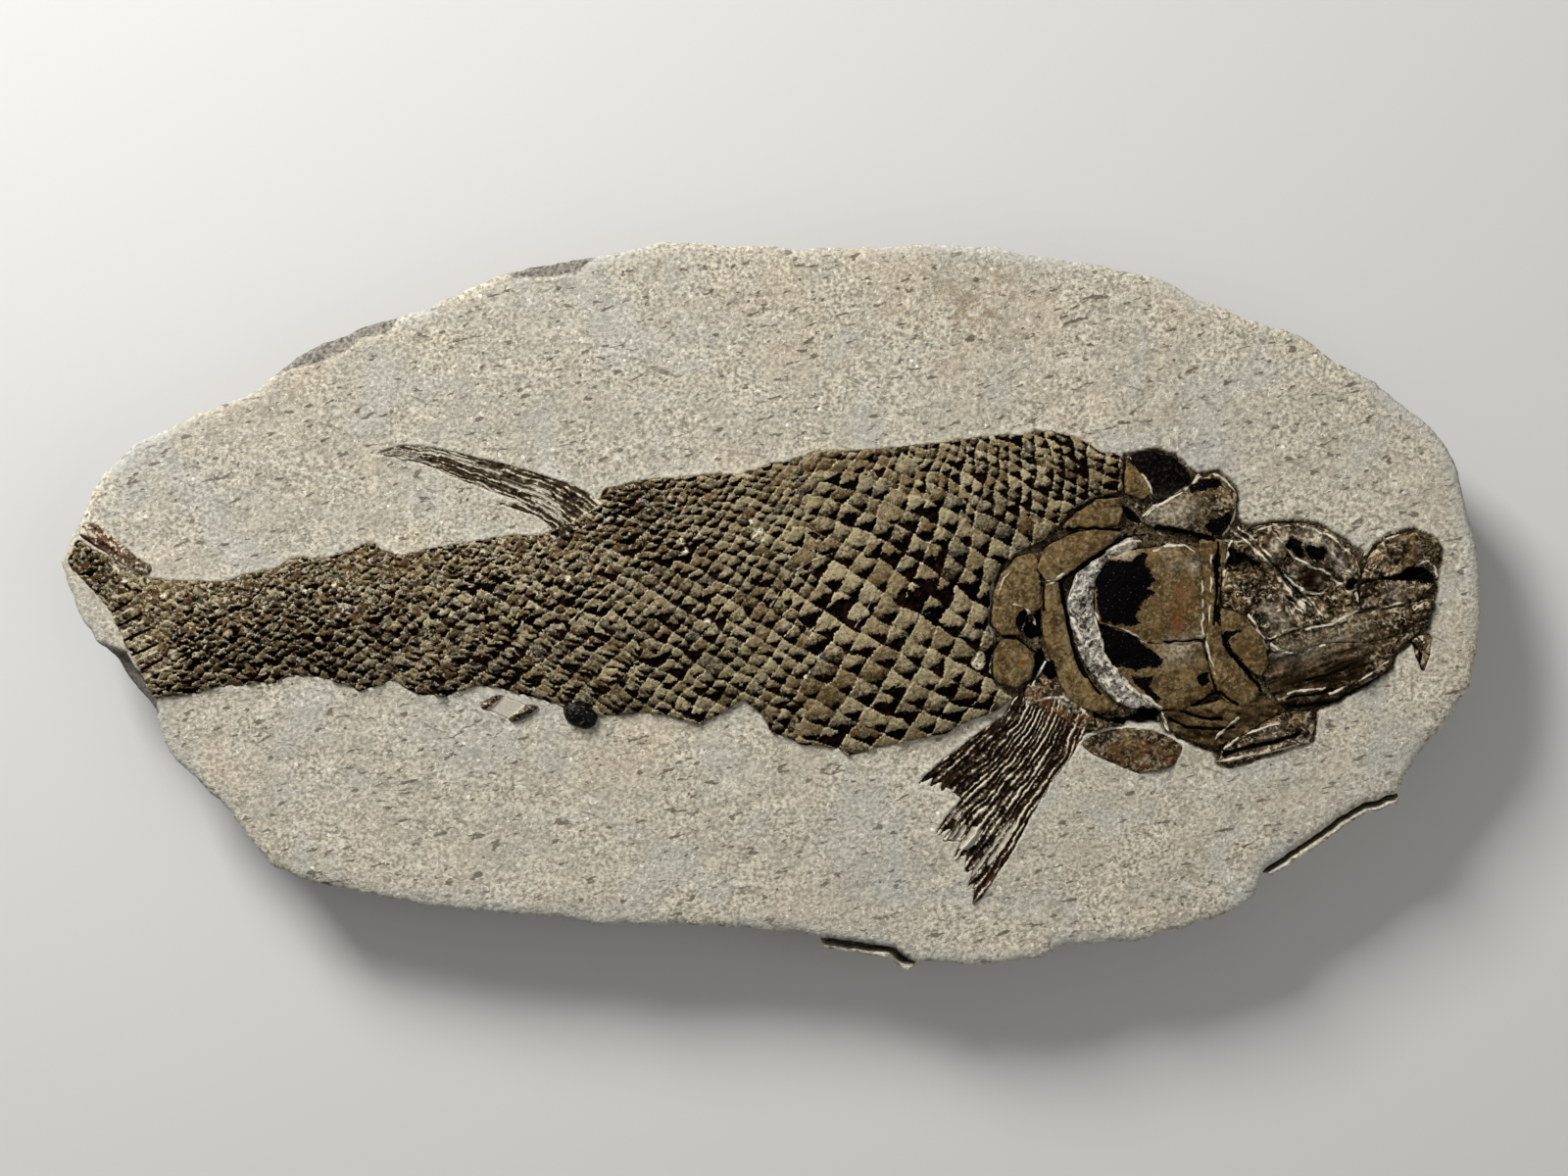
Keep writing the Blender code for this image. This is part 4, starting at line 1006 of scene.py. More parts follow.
def flaking(points, u, v, chance):
    """Over 0 where the scale's corner has flaked off and black shows."""
    amount = np.clip(FLAKE_BASE + spots(points, FLAKE_SPOTS), 0.05, 0.8)
    jag = 0.2 * fractal(points, 1.2, 31, 3)
    flake = wedge_distance(u, v, chance) - FLAKE_LEVEL + amount * (0.14 + 0.74 * chance[7]) + jag
    flake = np.where(chance[6] < 0.04 + 0.06 * amount, flake + 0.5, flake)
    flake = np.where(chance[6] > 0.5 + amount, -0.3, flake)
    return np.maximum(flake, strokes(points, COAT_SLITS) - 0.5)


def coat_field(points, u, v, chance):
    """The attributes that the scales' finish reads; u and v are the place within a scale."""
    dome = 1 - smoothstep(np.hypot(u - SCALE_MIDDLE[0], v - SCALE_MIDDLE[1]), 0.05, 0.8)
    # Painted highlight: paler along each scale's upper back edges.
    lip_highlight = np.maximum(np.exp(-u / 0.09), 0.8 * np.exp(-(1 - v) / 0.08))
    uneven = 0.05 * fractal(points, 0.8, 34, 2)
    wavy = 0.05 * value_noise(points, 3.0, 40)
    return {
        "dome": dome,
        "flake": flaking(points, u, v, chance),
        # Painted shade: darker along each scale's front and lower edges.
        "gap_shade": np.minimum(1 - u, 0.8 * v) + uneven + wavy,
        "lip_highlight": lip_highlight * (0.7 + 0.5 * value_noise(points, 1.6, 37)),
        # The zones and the random shift are the scales' own tone; the dome and (v - u) terms are painted
        # shading, lighter in the middle and upper back.
        "tone_and_shading": spots(points, SCALE_TONE) + 1.3 * (chance[8] - 0.5) + 0.7 * dome + 0.8 * (v - u) - 0.45,
        "chance": chance[9],
        "thread": strokes(points, COAT_THREADS) * (0.75 + 0.35 * value_noise(points, 0.9, 62)),
        "cream": np.clip(spots(points, CREAM_FLECKS), 0, 1.4),
        "fleck": 0.35 + np.clip(spots(points, FLECKED), 0, 0.65),
    }


def coat_height(points, depth, u, v, parts, chance, field):
    """Each point's height over the slab's back: tilted scales on a swelling trunk."""
    size = parts**-0.8
    tilt = (0.8 + 0.9 * chance[4]) * (0.5 - 0.5 * u + 0.5 * v)
    lift = size * (0.1 * field["dome"] + tilt + 0.5 * (chance[1] - 0.5))
    lift = lift + 0.14 * fractal(points, 1.1, 23, 3)
    lift = lift - FLAKE_RELIEF * size * smoothstep(field["flake"], 0, 0.1) + 0.3 * field["thread"]
    rise = COAT_EDGE_HEIGHT + COAT_DOME * (1 - np.exp(-depth / COAT_DOME_REACH))
    top = SLAB_TOP + rise + lift + 0.15 * value_noise(points, 9.0, 33)
    return np.minimum(top - 0.3 * np.exp(-depth / 0.25), COAT_TOP)


def build_coat(finishes):
    """Builds the trunk's and the tail's scales as one surface, and returns its outline."""
    rim = softened(np.array(COAT_RIM), COAT_STEP, CORNER_RADIUS)
    rim = roughened(roughened(rim, 3.0, 0.3, 27), 1.3, 0.13, 28)
    points, faces = plate(rim, COAT_STEP)
    column, row, parts = coat_lattice(points)
    u, v = column % 1, row % 1
    ids = np.floor(column) * 131 + np.floor(row)
    chance = [random_of(ids, n) for n in range(10)]
    field = coat_field(points, u, v, chance)
    top = coat_height(points, rim_distance(points, rim), u, v, parts, chance, field)
    standing("scale_coat", rim, points, top, faces, field, finishes["scale_bone"], "scale_bone")
    return rim


# ---------------------------------------------------------------- fins and nodule


# A fin's outline, its rays' edges, how many rays it has, how far from its root, in millimetres, rock begins
# to show between them, and how brown it is.
FINS = {
    "pectoral_fin": (PECTORAL_RIM_PX, PECTORAL_EDGES_PX, 19, 22.0, 0.05),
    "dorsal_fin": (DORSAL_RIM_PX, DORSAL_EDGES_PX, 9, 2.0, 0.45),
}
ROOT_REACH = 9.0  # of a fin's smooth root, in millimetres
NODULE_TURN = -28  # in degrees
NODULE_RADII = (3.7, 2.7, 2.0)


def ray_places(points, edges_px, count):
    """Where each point is across the fan: rays have their crests at the whole numbers."""
    wandering = shaken(shaken(points, 0.46, 4.0, 41), 0.17, 1.2, 44, 2)
    first, second = (path_distance(wandering, at(edge)) for edge in edges_px)
    ray = count * first / (first + second)
    return ray + 0.22 * value_noise(np.column_stack([np.hypot(*points.T), ray * 2.0]), 3.0, 48)


def build_fin(node, finishes):
    """Rays that fan out between two edges, each a rough crest over dark valleys, with rock farther out."""
    rim_px, edges_px, count, rocky_from, brown = FINS[node]
    rim = roughened(softened(at(rim_px), FIN_STEP, 0.2), 1.4, 0.06, 43)
    points, faces = plate(rim, FIN_STEP)
    depth = rim_distance(points, rim)
    ray = ray_places(points, edges_px, count)
    number = np.round(ray)
    strength = random_of(number, 7)
    crest = np.cos(math.pi * (ray - number)) ** 4
    along = np.hypot(*(points - at(rim_px[0])).T)
    pieces = value_noise(np.column_stack([along, number * 5.3]), 1.3, 45)
    stretches = value_noise(np.column_stack([along, number * 7.9]), 5.0, 46)
    root = np.exp(-((along / ROOT_REACH) ** 2))
    height = (0.5 + 0.5 * strength) * crest * (0.75 + 0.25 * pieces) * (0.75 + 0.35 * stretches) + 0.5 * root
    top = SLAB_TOP + 0.1 + 0.9 * height + 0.1 * fractal(points, 0.7, 42, 3) - 0.25 * np.exp(-depth / 0.2)
    paleness = crest * (0.35 + 0.75 * strength + 0.3 * root) * (0.85 + 0.6 * stretches)
    rocky = smoothstep(value_noise(np.column_stack([along, np.floor(ray) * 3.1]), 6.0, 47), 0.1, 0.4)
    field = {
        "crest": paleness + 0.4 * pieces + 0.3 * brown,
        "rocky": rocky * (1 - crest) * smoothstep(along, rocky_from, rocky_from + 5),
        "rust": np.clip(spots(points, HEAD_RUST), 0, 1.5),
        "brown": np.full(len(points), brown),
    }
    standing(node, rim, points, top, faces, field, finishes["fin_bone"], "fin_bone")
    return rim


def build_nodule(finishes):
    """A slightly lumpy pebble in the middle of its CAD node."""
    low, high = (np.array(corner[:]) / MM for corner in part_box("belly_nodule"))
    middle = (low + high) / 2
    angle = math.radians(NODULE_TURN)
    mesh = bmesh.new()
    bmesh.ops.create_uvsphere(mesh, u_segments=64, v_segments=32, radius=1.0)
    for vert in mesh.verts:
        x, y, z = vert.co
        bumps = 1 + 0.02 * math.sin(5 * x + 3 * y) + 0.015 * math.sin(9 * y + 4 * x)
        x, y, z = NODULE_RADII[0] * x * bumps, NODULE_RADII[1] * y * bumps, NODULE_RADII[2] * z
        right = x * math.cos(angle) - y * math.sin(angle)
        up = x * math.sin(angle) + y * math.cos(angle)
        vert.co = Vector((middle[0] + right, middle[1] + up, middle[2] + z)) * MM
    for face in mesh.faces:
        face.smooth = True
    data = bpy.data.meshes.new("belly_nodule_surface")
    mesh.to_mesh(data)
    mesh.free()
    data.materials.append(finishes["gloss"])
    nodule = bpy.data.objects.new("belly_nodule_surface", data)
    bpy.context.scene.collection.objects.link(nodule)
    carry(nodule, "black_bone", "belly_nodule")


# ---------------------------------------------------------------- the slab


COVER_REACH = 4.0  # how far from the fossil cover_depth() looks, in millimetres
# Down the side in even stages, from the face's rim to the back: how far out the rock stands, and how far down
# it is as a share of the height. A ledge's side goes out past a slot and back up to its lip.
SIDE_OUTS = (0.0, -0.3, -0.5, -1.2, -0.6, -3.5)
SIDE_DROPS = (0.0, 0.12, 0.26, 0.36, 0.68, 1.0)
LEDGE_OUTS = (0.0, -0.5, 0.7, 1.5, 2.4, -3.5)
LEDGE_DROPS = (0.0, 0.3, 0.4, -0.02, 0.0, 1.0)
LEDGE_REACH = 5.0
# The slot's black is a painted shadow.
SLOT_AT, SLOT_WIDTH = 0.3, 0.2  # of the dark slot behind a ledge's lip, as shares of the way down
LAYER_LENGTH, LAYERS = 9.0, 16.0  # of the rock's layers in the side: their length, and how many there are


def rock_relief(points):
    """The face's roughness in millimetres, away from its rim."""
    broad = 0.25 * value_noise(points, 22.0, 1)
    fine = 0.13 * fractal(points, 4.0, 51, 3)
    bedding = 0.05 * fractal(turned(points, 4) / (6.0, 1.0), 1.6, 52, 2)
    return broad + fine + bedding


def chip_depth(points):
    """How far the face has spalled off, in millimetres."""
    drop = np.zeros(len(points))
    for depth, outline in CHIPS:
        shape = at(outline)
        near = close_to(points, shape, 0.5)
        if near.any():
            deep = depth_inside(points[near], shape)
            drop[near] = np.maximum(drop[near], depth * smoothstep(deep, -0.1, 0.3 + 0.3 * depth))
    return drop


def cover_depth(points, covers):
    """How deep each point is under the fossil's pieces; negative beside them, down to -COVER_REACH."""
    depth = np.full(len(points), -COVER_REACH)
    for cover in covers:
        near = close_to(points, cover, COVER_REACH)
        if near.any():
            distance = rim_distance(points[near], cover)
            signed = np.where(inside(points[near], cover), distance, -distance)
            depth[near] = np.maximum(depth[near], signed)
    return depth


def face_points(rim, covers):
    """Points over the face: close together beside the fossil, sparse beneath it."""
    bed = at(HEAD_BED_PX)
    near = clear_points(rim, NEAR_STEP, 0.5 * FACE_STEP)
    depth = cover_depth(near, covers)
    beside = (np.abs(depth + 0.4) < NEAR_REACH - 0.4) & (depth < 0.9)
    near = near[beside | inside(near, bed) & (depth < 0.8)]
    wide = clear_points(rim, FACE_STEP, 0.5 * FACE_STEP)
    wide = wide[(cover_depth(wide, covers) < -NEAR_REACH) & ~inside(wide, bed)]
    deep = hex_points(rim, BED_STEP)
    deep = deep[cover_depth(deep, covers) > 1.2]
    return np.vstack([near, wide, deep])


def face_field(points, edge, depth, chips):
    """The attributes that the rock's finish reads, on the face."""
    bed_depth = depth_inside(points, at(HEAD_BED_PX))
    # The head's bed: broken bone, and painted shade in its crevices.
    bed_rubble_and_shade = smoothstep(bed_depth + 0.25 * fractal(points, 1.4, 83), -0.1, 0.35)
    return {
        **bone_field(points),
        "bed_rubble_and_shade": bed_rubble_and_shade,
        # The halo raises the rock next to the fossil, and its colour is a painted highlight.
        "halo": np.exp(-((np.minimum(depth, 0) / 1.1) ** 2)) * (1 - bed_rubble_and_shade),
        "fresh": np.clip(chips / 0.8, 0, 1),
        # Painted shade in the deepest chips.
        "deep": smoothstep(chips, 1.6, 3.0),
        "stain": np.clip(spots(points, STAINS), 0, 1),
        "blue": np.clip(spots(points, BLUE_ZONES), 0, 1),
        "brink": np.exp(-((edge / 2.2) ** 2)) * smoothstep(value_noise(points, 14.0, 87), -0.4, 0.3),
        "slot": np.zeros(len(points)),
    }


def face_height(points, edge, depth, chips, field):
    """Each point's height over the back: rough rock, rubble in the head's bed, a floor under the fossil."""
    bed_rubble_and_shade, thread = field["bed_rubble_and_shade"], field["thread"]
    rubble = 0.5 * ridged(points, 1.8, 84) + 0.25 * fractal(points, 0.9, 85) - 0.9
    top = SLAB_TOP + rock_relief(points) * smoothstep(edge, 0, 5) - 0.9 * np.exp(-edge / 0.9) - chips
    top = top + 0.22 * field["halo"] * (0.6 + 0.4 * value_noise(points, 3.0, 86))
    top = top + bed_rubble_and_shade * (rubble + 0.3 * thread) + 0.1 * thread * (1 - bed_rubble_and_shade)
    under = smoothstep(depth, 0.0, 0.6)
    return top * (1 - under) + BED_FLOOR * under


def ledge_share(rim):
    """From 0 to 1, how much of a ledge stands out below each point of the rim."""
    nearest = np.min([path_distance(rim, at(path)) for path in LEDGES_PX], axis=0)
    return 1 - smoothstep(nearest, 0.5 * LEDGE_REACH, LEDGE_REACH)


def side_rings(rim, top, ledge):
    """Rings of points down the broken side, with its layers of rock."""
    out_ward = outward(rim)
    travelled = np.concatenate([[0], np.cumsum(np.hypot(*np.diff(rim, axis=0).T))])
    stages = np.linspace(0, 1, len(SIDE_OUTS))

    def staged(share, plain, ledged):
        return (1 - ledge) * np.interp(share, stages, plain) + ledge * np.interp(share, stages, ledged)

    rings = []
    for n in range(1, SIDE_RINGS + 1):
        share = n / SIDE_RINGS
        layers = np.column_stack([travelled / LAYER_LENGTH, np.full(len(rim), share * LAYERS)])
        rough = 0.55 * value_noise(layers, 1.0, 71) + 0.35 * value_noise(layers * 2.6, 1.0, 72) - 0.3
        rough = rough + 0.25 * value_noise(layers * (7.0, 1.0), 1.0, 73)
        out = staged(share, SIDE_OUTS, LEDGE_OUTS) + rough * (1 - 0.7 * ledge)
        place = rim + out_ward * (out * min(1.0, 4 * share))[:, None]
        ring = np.column_stack([place, top * (1 - staged(share, SIDE_DROPS, LEDGE_DROPS))])
        fade = 1 - smoothstep(share, 0.9, 1.0)
        ring[:, 2] += 0.12 * fade * value_noise(layers * (3.0, 1.0), 1.0, 74)
        rings.append(ring)
    return rings


def flat_back(rim, rim_start, start):
    """The back's inner points, numbered from start on, and its faces; its rim is numbered from rim_start."""
    points, faces = plate(rim, BACK_STEP)
    inner = points[len(rim):]
    numbers = np.concatenate([rim_start + np.arange(len(rim)), start + np.arange(len(inner))])
    return np.column_stack([inner, np.zeros(len(inner))]), numbers[np.array(faces)[:, ::-1]].tolist()


def build_slab(covers, finishes):
    """Builds the rock: its face with the beds of the fossil, its broken side and its flat back."""
    rim = softened(at(SLAB_RIM_PX), RIM_STEP, CORNER_RADIUS)
    rim = roughened(rim, 6.0, 0.34, 81)
    rim = roughened(rim, 1.9, 0.2, 82)
    count = len(rim)
    points, faces = triangulated(rim, face_points(rim, covers))
    edge, depth, chips = rim_distance(points, rim), cover_depth(points, covers), chip_depth(points)
    field = face_field(points, edge, depth, chips)
    top = face_height(points, edge, depth, chips, field)

    ledge = ledge_share(rim)
    rings = side_rings(rim, top[:count], ledge)
    starts = [0] + [len(points) + n * count for n in range(SIDE_RINGS)]
    for upper, lower in zip(starts, starts[1:]):
        faces += wall(upper + np.arange(count), lower + np.arange(count))
    back_start = starts[-1] + count
    back, back_faces = flat_back(rings[-1][:, :2], starts[-1], back_start)

    verts = np.vstack([np.column_stack([points, top]), *rings, back])
    field = padded(field, len(verts) - len(points))
    side = slice(len(points), back_start)
    shares = np.arange(1, SIDE_RINGS + 1) / SIDE_RINGS
    field["fresh"][side] = np.tile(1 - ledge, SIDE_RINGS)
    field["fresh"][back_start:] = 1
    # The slot behind a ledge's lip is painted black as its shadow.
    field["slot"][side] = np.outer(np.exp(-(((shares - SLOT_AT) / SLOT_WIDTH) ** 4)), ledge).ravel()
    slab = solid("matrix_slab_surface", verts, faces + back_faces, field, finishes["limestone"])
    carry(slab, "limestone", "matrix_slab")


# ---------------------------------------------------------------- finishes


MATT = 0.02  # the specular level of rock and bone
GLOSS = 0.1  # and of the nodule
JET = (0.0015, 0.001, 0.001)
BLACK_BROWN = (0.006, 0.003, 0.002)
CREAM_THREAD = (0.60, 0.54, 0.42)
# A kind of bone's dark, middle and pale colours, how broken and fibrous it is from 0 to 1, its roughness, and
# the strength of its black patches.
BONE_KINDS = {
    "tan_bone": ((0.06, 0.036, 0.012), (0.17, 0.112, 0.045), (0.33, 0.26, 0.155), 0.25, 0.6, 0.0),
    "dark_bone": ((0.012, 0.007, 0.003), (0.14, 0.09, 0.04), (0.53, 0.435, 0.29), 0.9, 0.6, 0.6),
    "black_bone": (JET, (0.002, 0.001, 0.001), (0.035, 0.028, 0.024), 0.06, 0.5, 0.0),
    "pale_bone": ((0.10, 0.085, 0.065), (0.38, 0.35, 0.29), (0.68, 0.64, 0.55), 0.85, 0.6, 0.0),
}


def sandy_rock(s, sand):
    """Sand in broad warm, grey and bluish patches."""
    patches = s.noise(11.0, 3.0)
    warmth = s.noise(17.0, 3.0, distortion=0.6)
    colour = s.blend(s.step(sand, 0.29, 0.71), (0.225, 0.2, 0.148), (0.69, 0.63, 0.495))
    colour = s.blend(s.step(patches, 0.36, 0.62, 0.0, 0.4), colour, (0.36, 0.335, 0.27))
    colour = s.blend(s.step(warmth, 0.5, 0.68, 0.0, 0.2), colour, (0.56, 0.44, 0.30))
    return s.blend(s.step(warmth, 0.5, 0.34, 0.0, 0.3), colour, (0.42, 0.43, 0.41))


def grains(s, colour):
    """Pale grains, dark dashes, scratches and dark specks in the rock."""
    distance, tint = s.cells(1.1)
    lucky = s.math("GREATER_THAN", tint, 0.92)
    grain = s.times(lucky, s.step(distance, 0.3, 0.42, 1.0, 0.0))
    colour = s.blend(s.times(grain, 0.85), colour, (0.92, 0.88, 0.78))
    pale = s.step(s.noise(1.0, 2.0, distortion=0.8), 0.63, 0.68, 0.0, 0.7)
    colour = s.blend(pale, colour, (0.80, 0.755, 0.64))
    dash = s.noise(1.2, 3.0, s.stretched((0.42, 1.0, 1.0), 0.25))
    colour = s.blend(s.step(dash, 0.625, 0.675, 0.0, 0.85), colour, (0.11, 0.09, 0.065))
    scratch = s.noise(1.7, 3.0, s.stretched((0.2, 1.0, 1.0), -0.35))
    colour = s.blend(s.step(scratch, 0.66, 0.72, 0.0, 0.6), colour, (0.16, 0.135, 0.1))
    speck_distance, speck_tint = s.cells(1.5)
    dark_speck = s.times(s.math("GREATER_THAN", speck_tint, 0.88), s.step(speck_distance, 0.16, 0.26, 1.0, 0.0))
    return s.blend(s.times(dark_speck, 0.85), colour, (0.07, 0.055, 0.04))


def rock_zones(s, colour, sand):
    """The bluish and stained zones, the halo next to the fossil painted lighter as a highlight, and the fresh
    grey rock of chips and side, with painted shade in the deepest chips.
    """
    colour = s.blend(s.times(s.field("blue"), 0.3), colour, (0.34, 0.35, 0.38))
    blotch = s.step(s.noise(2.6, 3.0), 0.42, 0.6)
    colour = s.blend(s.times(s.field("stain"), s.times(blotch, 0.7)), colour, (0.2, 0.13, 0.07))
    # Painted highlight: the raised rock next to the fossil lighter.
    halo_highlight = s.times(s.field("halo"), s.step(s.noise(2.2, 2.0), 0.45, 0.6, 0.1, 0.6))
    colour = s.blend(halo_highlight, colour, (0.60, 0.56, 0.47))
    colour = s.blend(s.times(s.field("brink"), 0.45), colour, (0.46, 0.46, 0.44))
    grey = s.blend(s.step(sand, 0.3, 0.7), (0.08, 0.072, 0.062), (0.32, 0.29, 0.24))
    colour = s.blend(s.field("fresh"), colour, grey)
    # Painted shade: the deepest chips darker.
    return s.blend(s.times(s.field("deep"), 0.6), colour, (0.11, 0.1, 0.085))


def rock_finish():
    s = Shader("limestone")
    sand = s.noise(0.75, 4.0)
    colour = rock_zones(s, grains(s, sandy_rock(s, sand)), sand)
    mess = s.noise(0.6, 3.0, distortion=1.0)
    # Near-black painted shade in the bed's crevices, with brown and pale broken bone.
    broken = s.blend(s.step(mess, 0.38, 0.52), (0.002, 0.0015, 0.001), (0.085, 0.06, 0.034))
    broken = s.blend(s.step(mess, 0.60, 0.70), broken, (0.36, 0.31, 0.23))
    broken = s.blend(s.step(s.field("black"), 0.0, 0.1), broken, JET)
    broken = s.blend(s.step(s.field("crack_and_shadow"), 0.3, 0.6), broken, JET)
    colour = s.blend(s.field("bed_rubble_and_shade"), colour, broken)
    # Painted shadow in the slot behind a ledge's lip.
    colour = s.blend(s.field("slot"), colour, JET)
    colour = s.blend(s.step(s.field("thread"), 0.35, 0.7), colour, (0.66, 0.6, 0.48))
    return s.finish(colour, 0.9, s.plus(sand, s.times(mess, 0.5)), 0.28, MATT)


def scale_ground(s, grain, mottle):
    """The scales' tan with its brown, pale flecks and fine dark lines, and painted shading that is lighter in
    each scale's middle and upper back and darker at its edges and lower front.
    """
    # The tone carries painted shading as well as the scales' own tone.
    tone_and_shading = s.plus(s.field("tone_and_shading"), s.swing(grain, 2.8))
    tone_and_shading = s.plus(tone_and_shading, s.swing(mottle, 2.0))
    colour = s.blend(s.step(tone_and_shading, -0.8, 0.8), (0.026, 0.016, 0.007), (0.42, 0.345, 0.195))
    colour = s.blend(s.step(s.field("chance"), 0.5, 1.0, 0.0, 0.6), colour, (0.16, 0.10, 0.035))
    colour = s.blend(s.step(s.field("chance"), 0.25, 0.0, 0.0, 0.3), colour, (0.19, 0.175, 0.14))
    brown = s.step(s.noise(2.4, 4.0), 0.5, 0.6, 0.0, 0.8)
    colour = s.blend(s.times(s.field("fleck"), brown), colour, (0.10, 0.055, 0.024))
    fleck = s.step(s.noise(1.0, 4.0, distortion=0.8), 0.56, 0.62, 0.0, 0.95)
    colour = s.blend(s.times(s.field("fleck"), fleck), colour, (0.52, 0.46, 0.34))
    lines = s.noise(1.3, 4.0, distortion=1.5)
    line = s.step(s.math("ABSOLUTE", s.math("SUBTRACT", lines, 0.5)), 0.0, 0.02, 0.7, 0.0)
    return s.blend(line, colour, (0.03, 0.02, 0.012))


def scale_edges(s, colour, mottle):
    """The scales' lips painted lighter as a highlight along their upper back edges, painted shade in the gaps
    along their front and lower edges, and the black where they have flaked.
    """
    # Painted highlight on each scale's upper back lip.
    lip_highlight = s.plus(s.field("lip_highlight"), s.swing(mottle, 0.8))
    colour = s.blend(s.step(lip_highlight, 0.4, 0.75, 0.0, 0.8), colour, (0.53, 0.47, 0.33))
    jag = s.swing(s.noise(0.6, 3.0), 0.6)
    # Painted shade in the gaps between the scales.
    gap_shade = s.step(s.plus(s.field("gap_shade"), s.times(jag, 0.5)), 0.0, 0.08, 0.55, 0.0)
    colour = s.blend(gap_shade, colour, (0.02, 0.013, 0.008))
    black = s.blend(s.step(s.noise(1.6, 1.0), 0.5, 0.62), JET, (0.014, 0.004, 0.002))
    glint = s.step(s.noise(0.35, 1.0), 0.72, 0.78, 0.0, 0.5)
    black = s.blend(glint, black, (0.16, 0.15, 0.13))
    return s.blend(s.step(s.plus(s.field("flake"), jag), 0.0, 0.03), colour, black)


def scale_finish():
    s = Shader("scale_bone")
    grain = s.noise(0.8, 4.0)
    mottle = s.noise(0.42, 2.0)
    colour = scale_edges(s, scale_ground(s, grain, mottle), mottle)
    specks = s.step(s.noise(0.6, 2.0), 0.60, 0.66, 0.0, 0.6)
    colour = s.blend(specks, colour, (0.014, 0.008, 0.005))
    colour = s.blend(s.step(s.field("thread"), 0.4, 0.7, 0.0, 0.8), colour, (0.6, 0.54, 0.41))
    cream = s.times(s.field("cream"), s.step(s.noise(0.8, 2.0), 0.3, 0.5))
    colour = s.blend(s.step(cream, 0.35, 0.7), colour, (0.72, 0.64, 0.46))
    return s.finish(colour, 0.7, grain, 0.42, MATT)


def bone_marks(s, colour, cloud, fine):
    """Rust, shade, worn pale patches and a painted sheen, black flakes, cracks and a painted shadow under the
    jaw, painted shade along the bones' edges, and pale threads.
    """
    colour = s.blend(s.times(s.field("rust"), s.step(cloud, 0.4, 0.65)), colour, (0.13, 0.045, 0.012))
    colour = s.blend(s.field("shade"), colour, (0.012, 0.006, 0.002))
    pale_share = s.times(s.field("pale"), s.step(fine, 0.35, 0.62, 0.2, 0.85))
    colour = s.blend(pale_share, colour, (0.44, 0.38, 0.28))
    jag = s.swing(s.noise(0.7, 4.0), 1.6)
    black = s.plus(s.field("black"), jag)
    glint = s.step(s.noise(0.45, 1.0), 0.70, 0.76, 0.0, 0.4)
    jet = s.blend(glint, JET, (0.14, 0.13, 0.11))
    colour = s.blend(s.step(black, 0.0, 0.08), colour, jet)
    # Cracks, and the painted shadow under the jaw, in black.
    colour = s.blend(s.step(s.plus(s.field("crack_and_shadow"), s.times(jag, 0.3)), 0.3, 0.55), colour, JET)
    # Painted shade: a dark band along each bone's edge.
    ragged = s.plus(s.field("edge"), s.times(jag, 0.35))
    outline = s.times(s.step(ragged, 0.0, 0.16, 0.9, 0.0), s.step(cloud, 0.46, 0.56, 0.1, 1.0))
    colour = s.blend(outline, colour, BLACK_BROWN)
    thread = s.plus(s.field("thread"), s.times(jag, 0.3))
    return s.blend(s.step(thread, 0.4, 0.7, 0.0, 0.9), colour, CREAM_THREAD)


def bone_finish(name):
    dark, mid, pale, mess_amount, rough, patchy = BONE_KINDS[name]
    s = Shader(name)
    fine = s.noise(0.7, 4.0)
    cloud = s.noise(2.4, 4.0, distortion=0.5)
    patch = s.noise(3.2, 4.0, distortion=0.8)
    colour = s.blend(s.step(cloud, 0.36, 0.62), dark, mid)
    colour = s.blend(s.step(s.noise(6.0, 3.0), 0.42, 0.62, 0.0, 0.45), colour, dark)
    colour = s.blend(s.step(patch, 0.46, 0.38, 0.0, 0.8 * patchy), colour, (0.22, 0.15, 0.07))
    broken = s.math("SUBTRACT", 1.0, s.field("calm"))
    colour = s.blend(s.times(broken, s.step(patch, 0.52, 0.58, 0.0, patchy)), colour, BLACK_BROWN)
    colour = s.blend(s.step(fine, 0.5, 0.7, 0.0, 0.55), colour, pale)
    colour = s.blend(s.step(fine, 0.46, 0.3, 0.0, 0.6), colour, dark)
    mess = s.plus(s.noise(1.8, 5.0, distortion=1.9), s.times(s.field("streak"), 0.08))
    mess_here = s.times(broken, mess_amount)
    colour = s.blend(s.step(mess, 0.39, 0.44, mess_here, 0.0), colour, JET)
    colour = s.blend(s.step(mess, 0.56, 0.62, 0.0, mess_here), colour, pale)
    colour = bone_marks(s, colour, cloud, fine)
    return s.finish(colour, rough, s.plus(fine, s.times(mess, 0.6)), 0.3, MATT)


def fin_finish():
    s = Shader("fin_bone")
    fine = s.noise(0.6, 3.0)
    dark = s.blend(s.step(s.noise(1.6, 2.0), 0.46, 0.6), JET, (0.02, 0.009, 0.004))
    brown_share = s.field("brown")
    brown = s.blend(s.step(s.noise(1.4, 3.0), 0.4, 0.56), (0.008, 0.005, 0.003), (0.075, 0.052, 0.03))
    dark = s.blend(brown_share, dark, brown)
    crest = s.plus(s.field("crest"), s.swing(fine, 1.7))
    colour = s.blend(s.step(crest, 0.22, 0.5), dark, (0.12, 0.09, 0.055))
    rust = s.times(s.field("rust"), s.step(crest, 0.1, 0.5, 0.2, 0.9))
    colour = s.blend(rust, colour, (0.11, 0.045, 0.022))
    colour = s.blend(s.step(crest, 0.55, 0.8, 0.0, 0.95), colour, (0.60, 0.54, 0.41))
    colour = s.blend(s.step(s.field("rocky"), 0.45, 0.75, 0.0, 0.9), colour, (0.46, 0.42, 0.34))
    return s.finish(colour, 0.6, fine, 0.15, MATT)


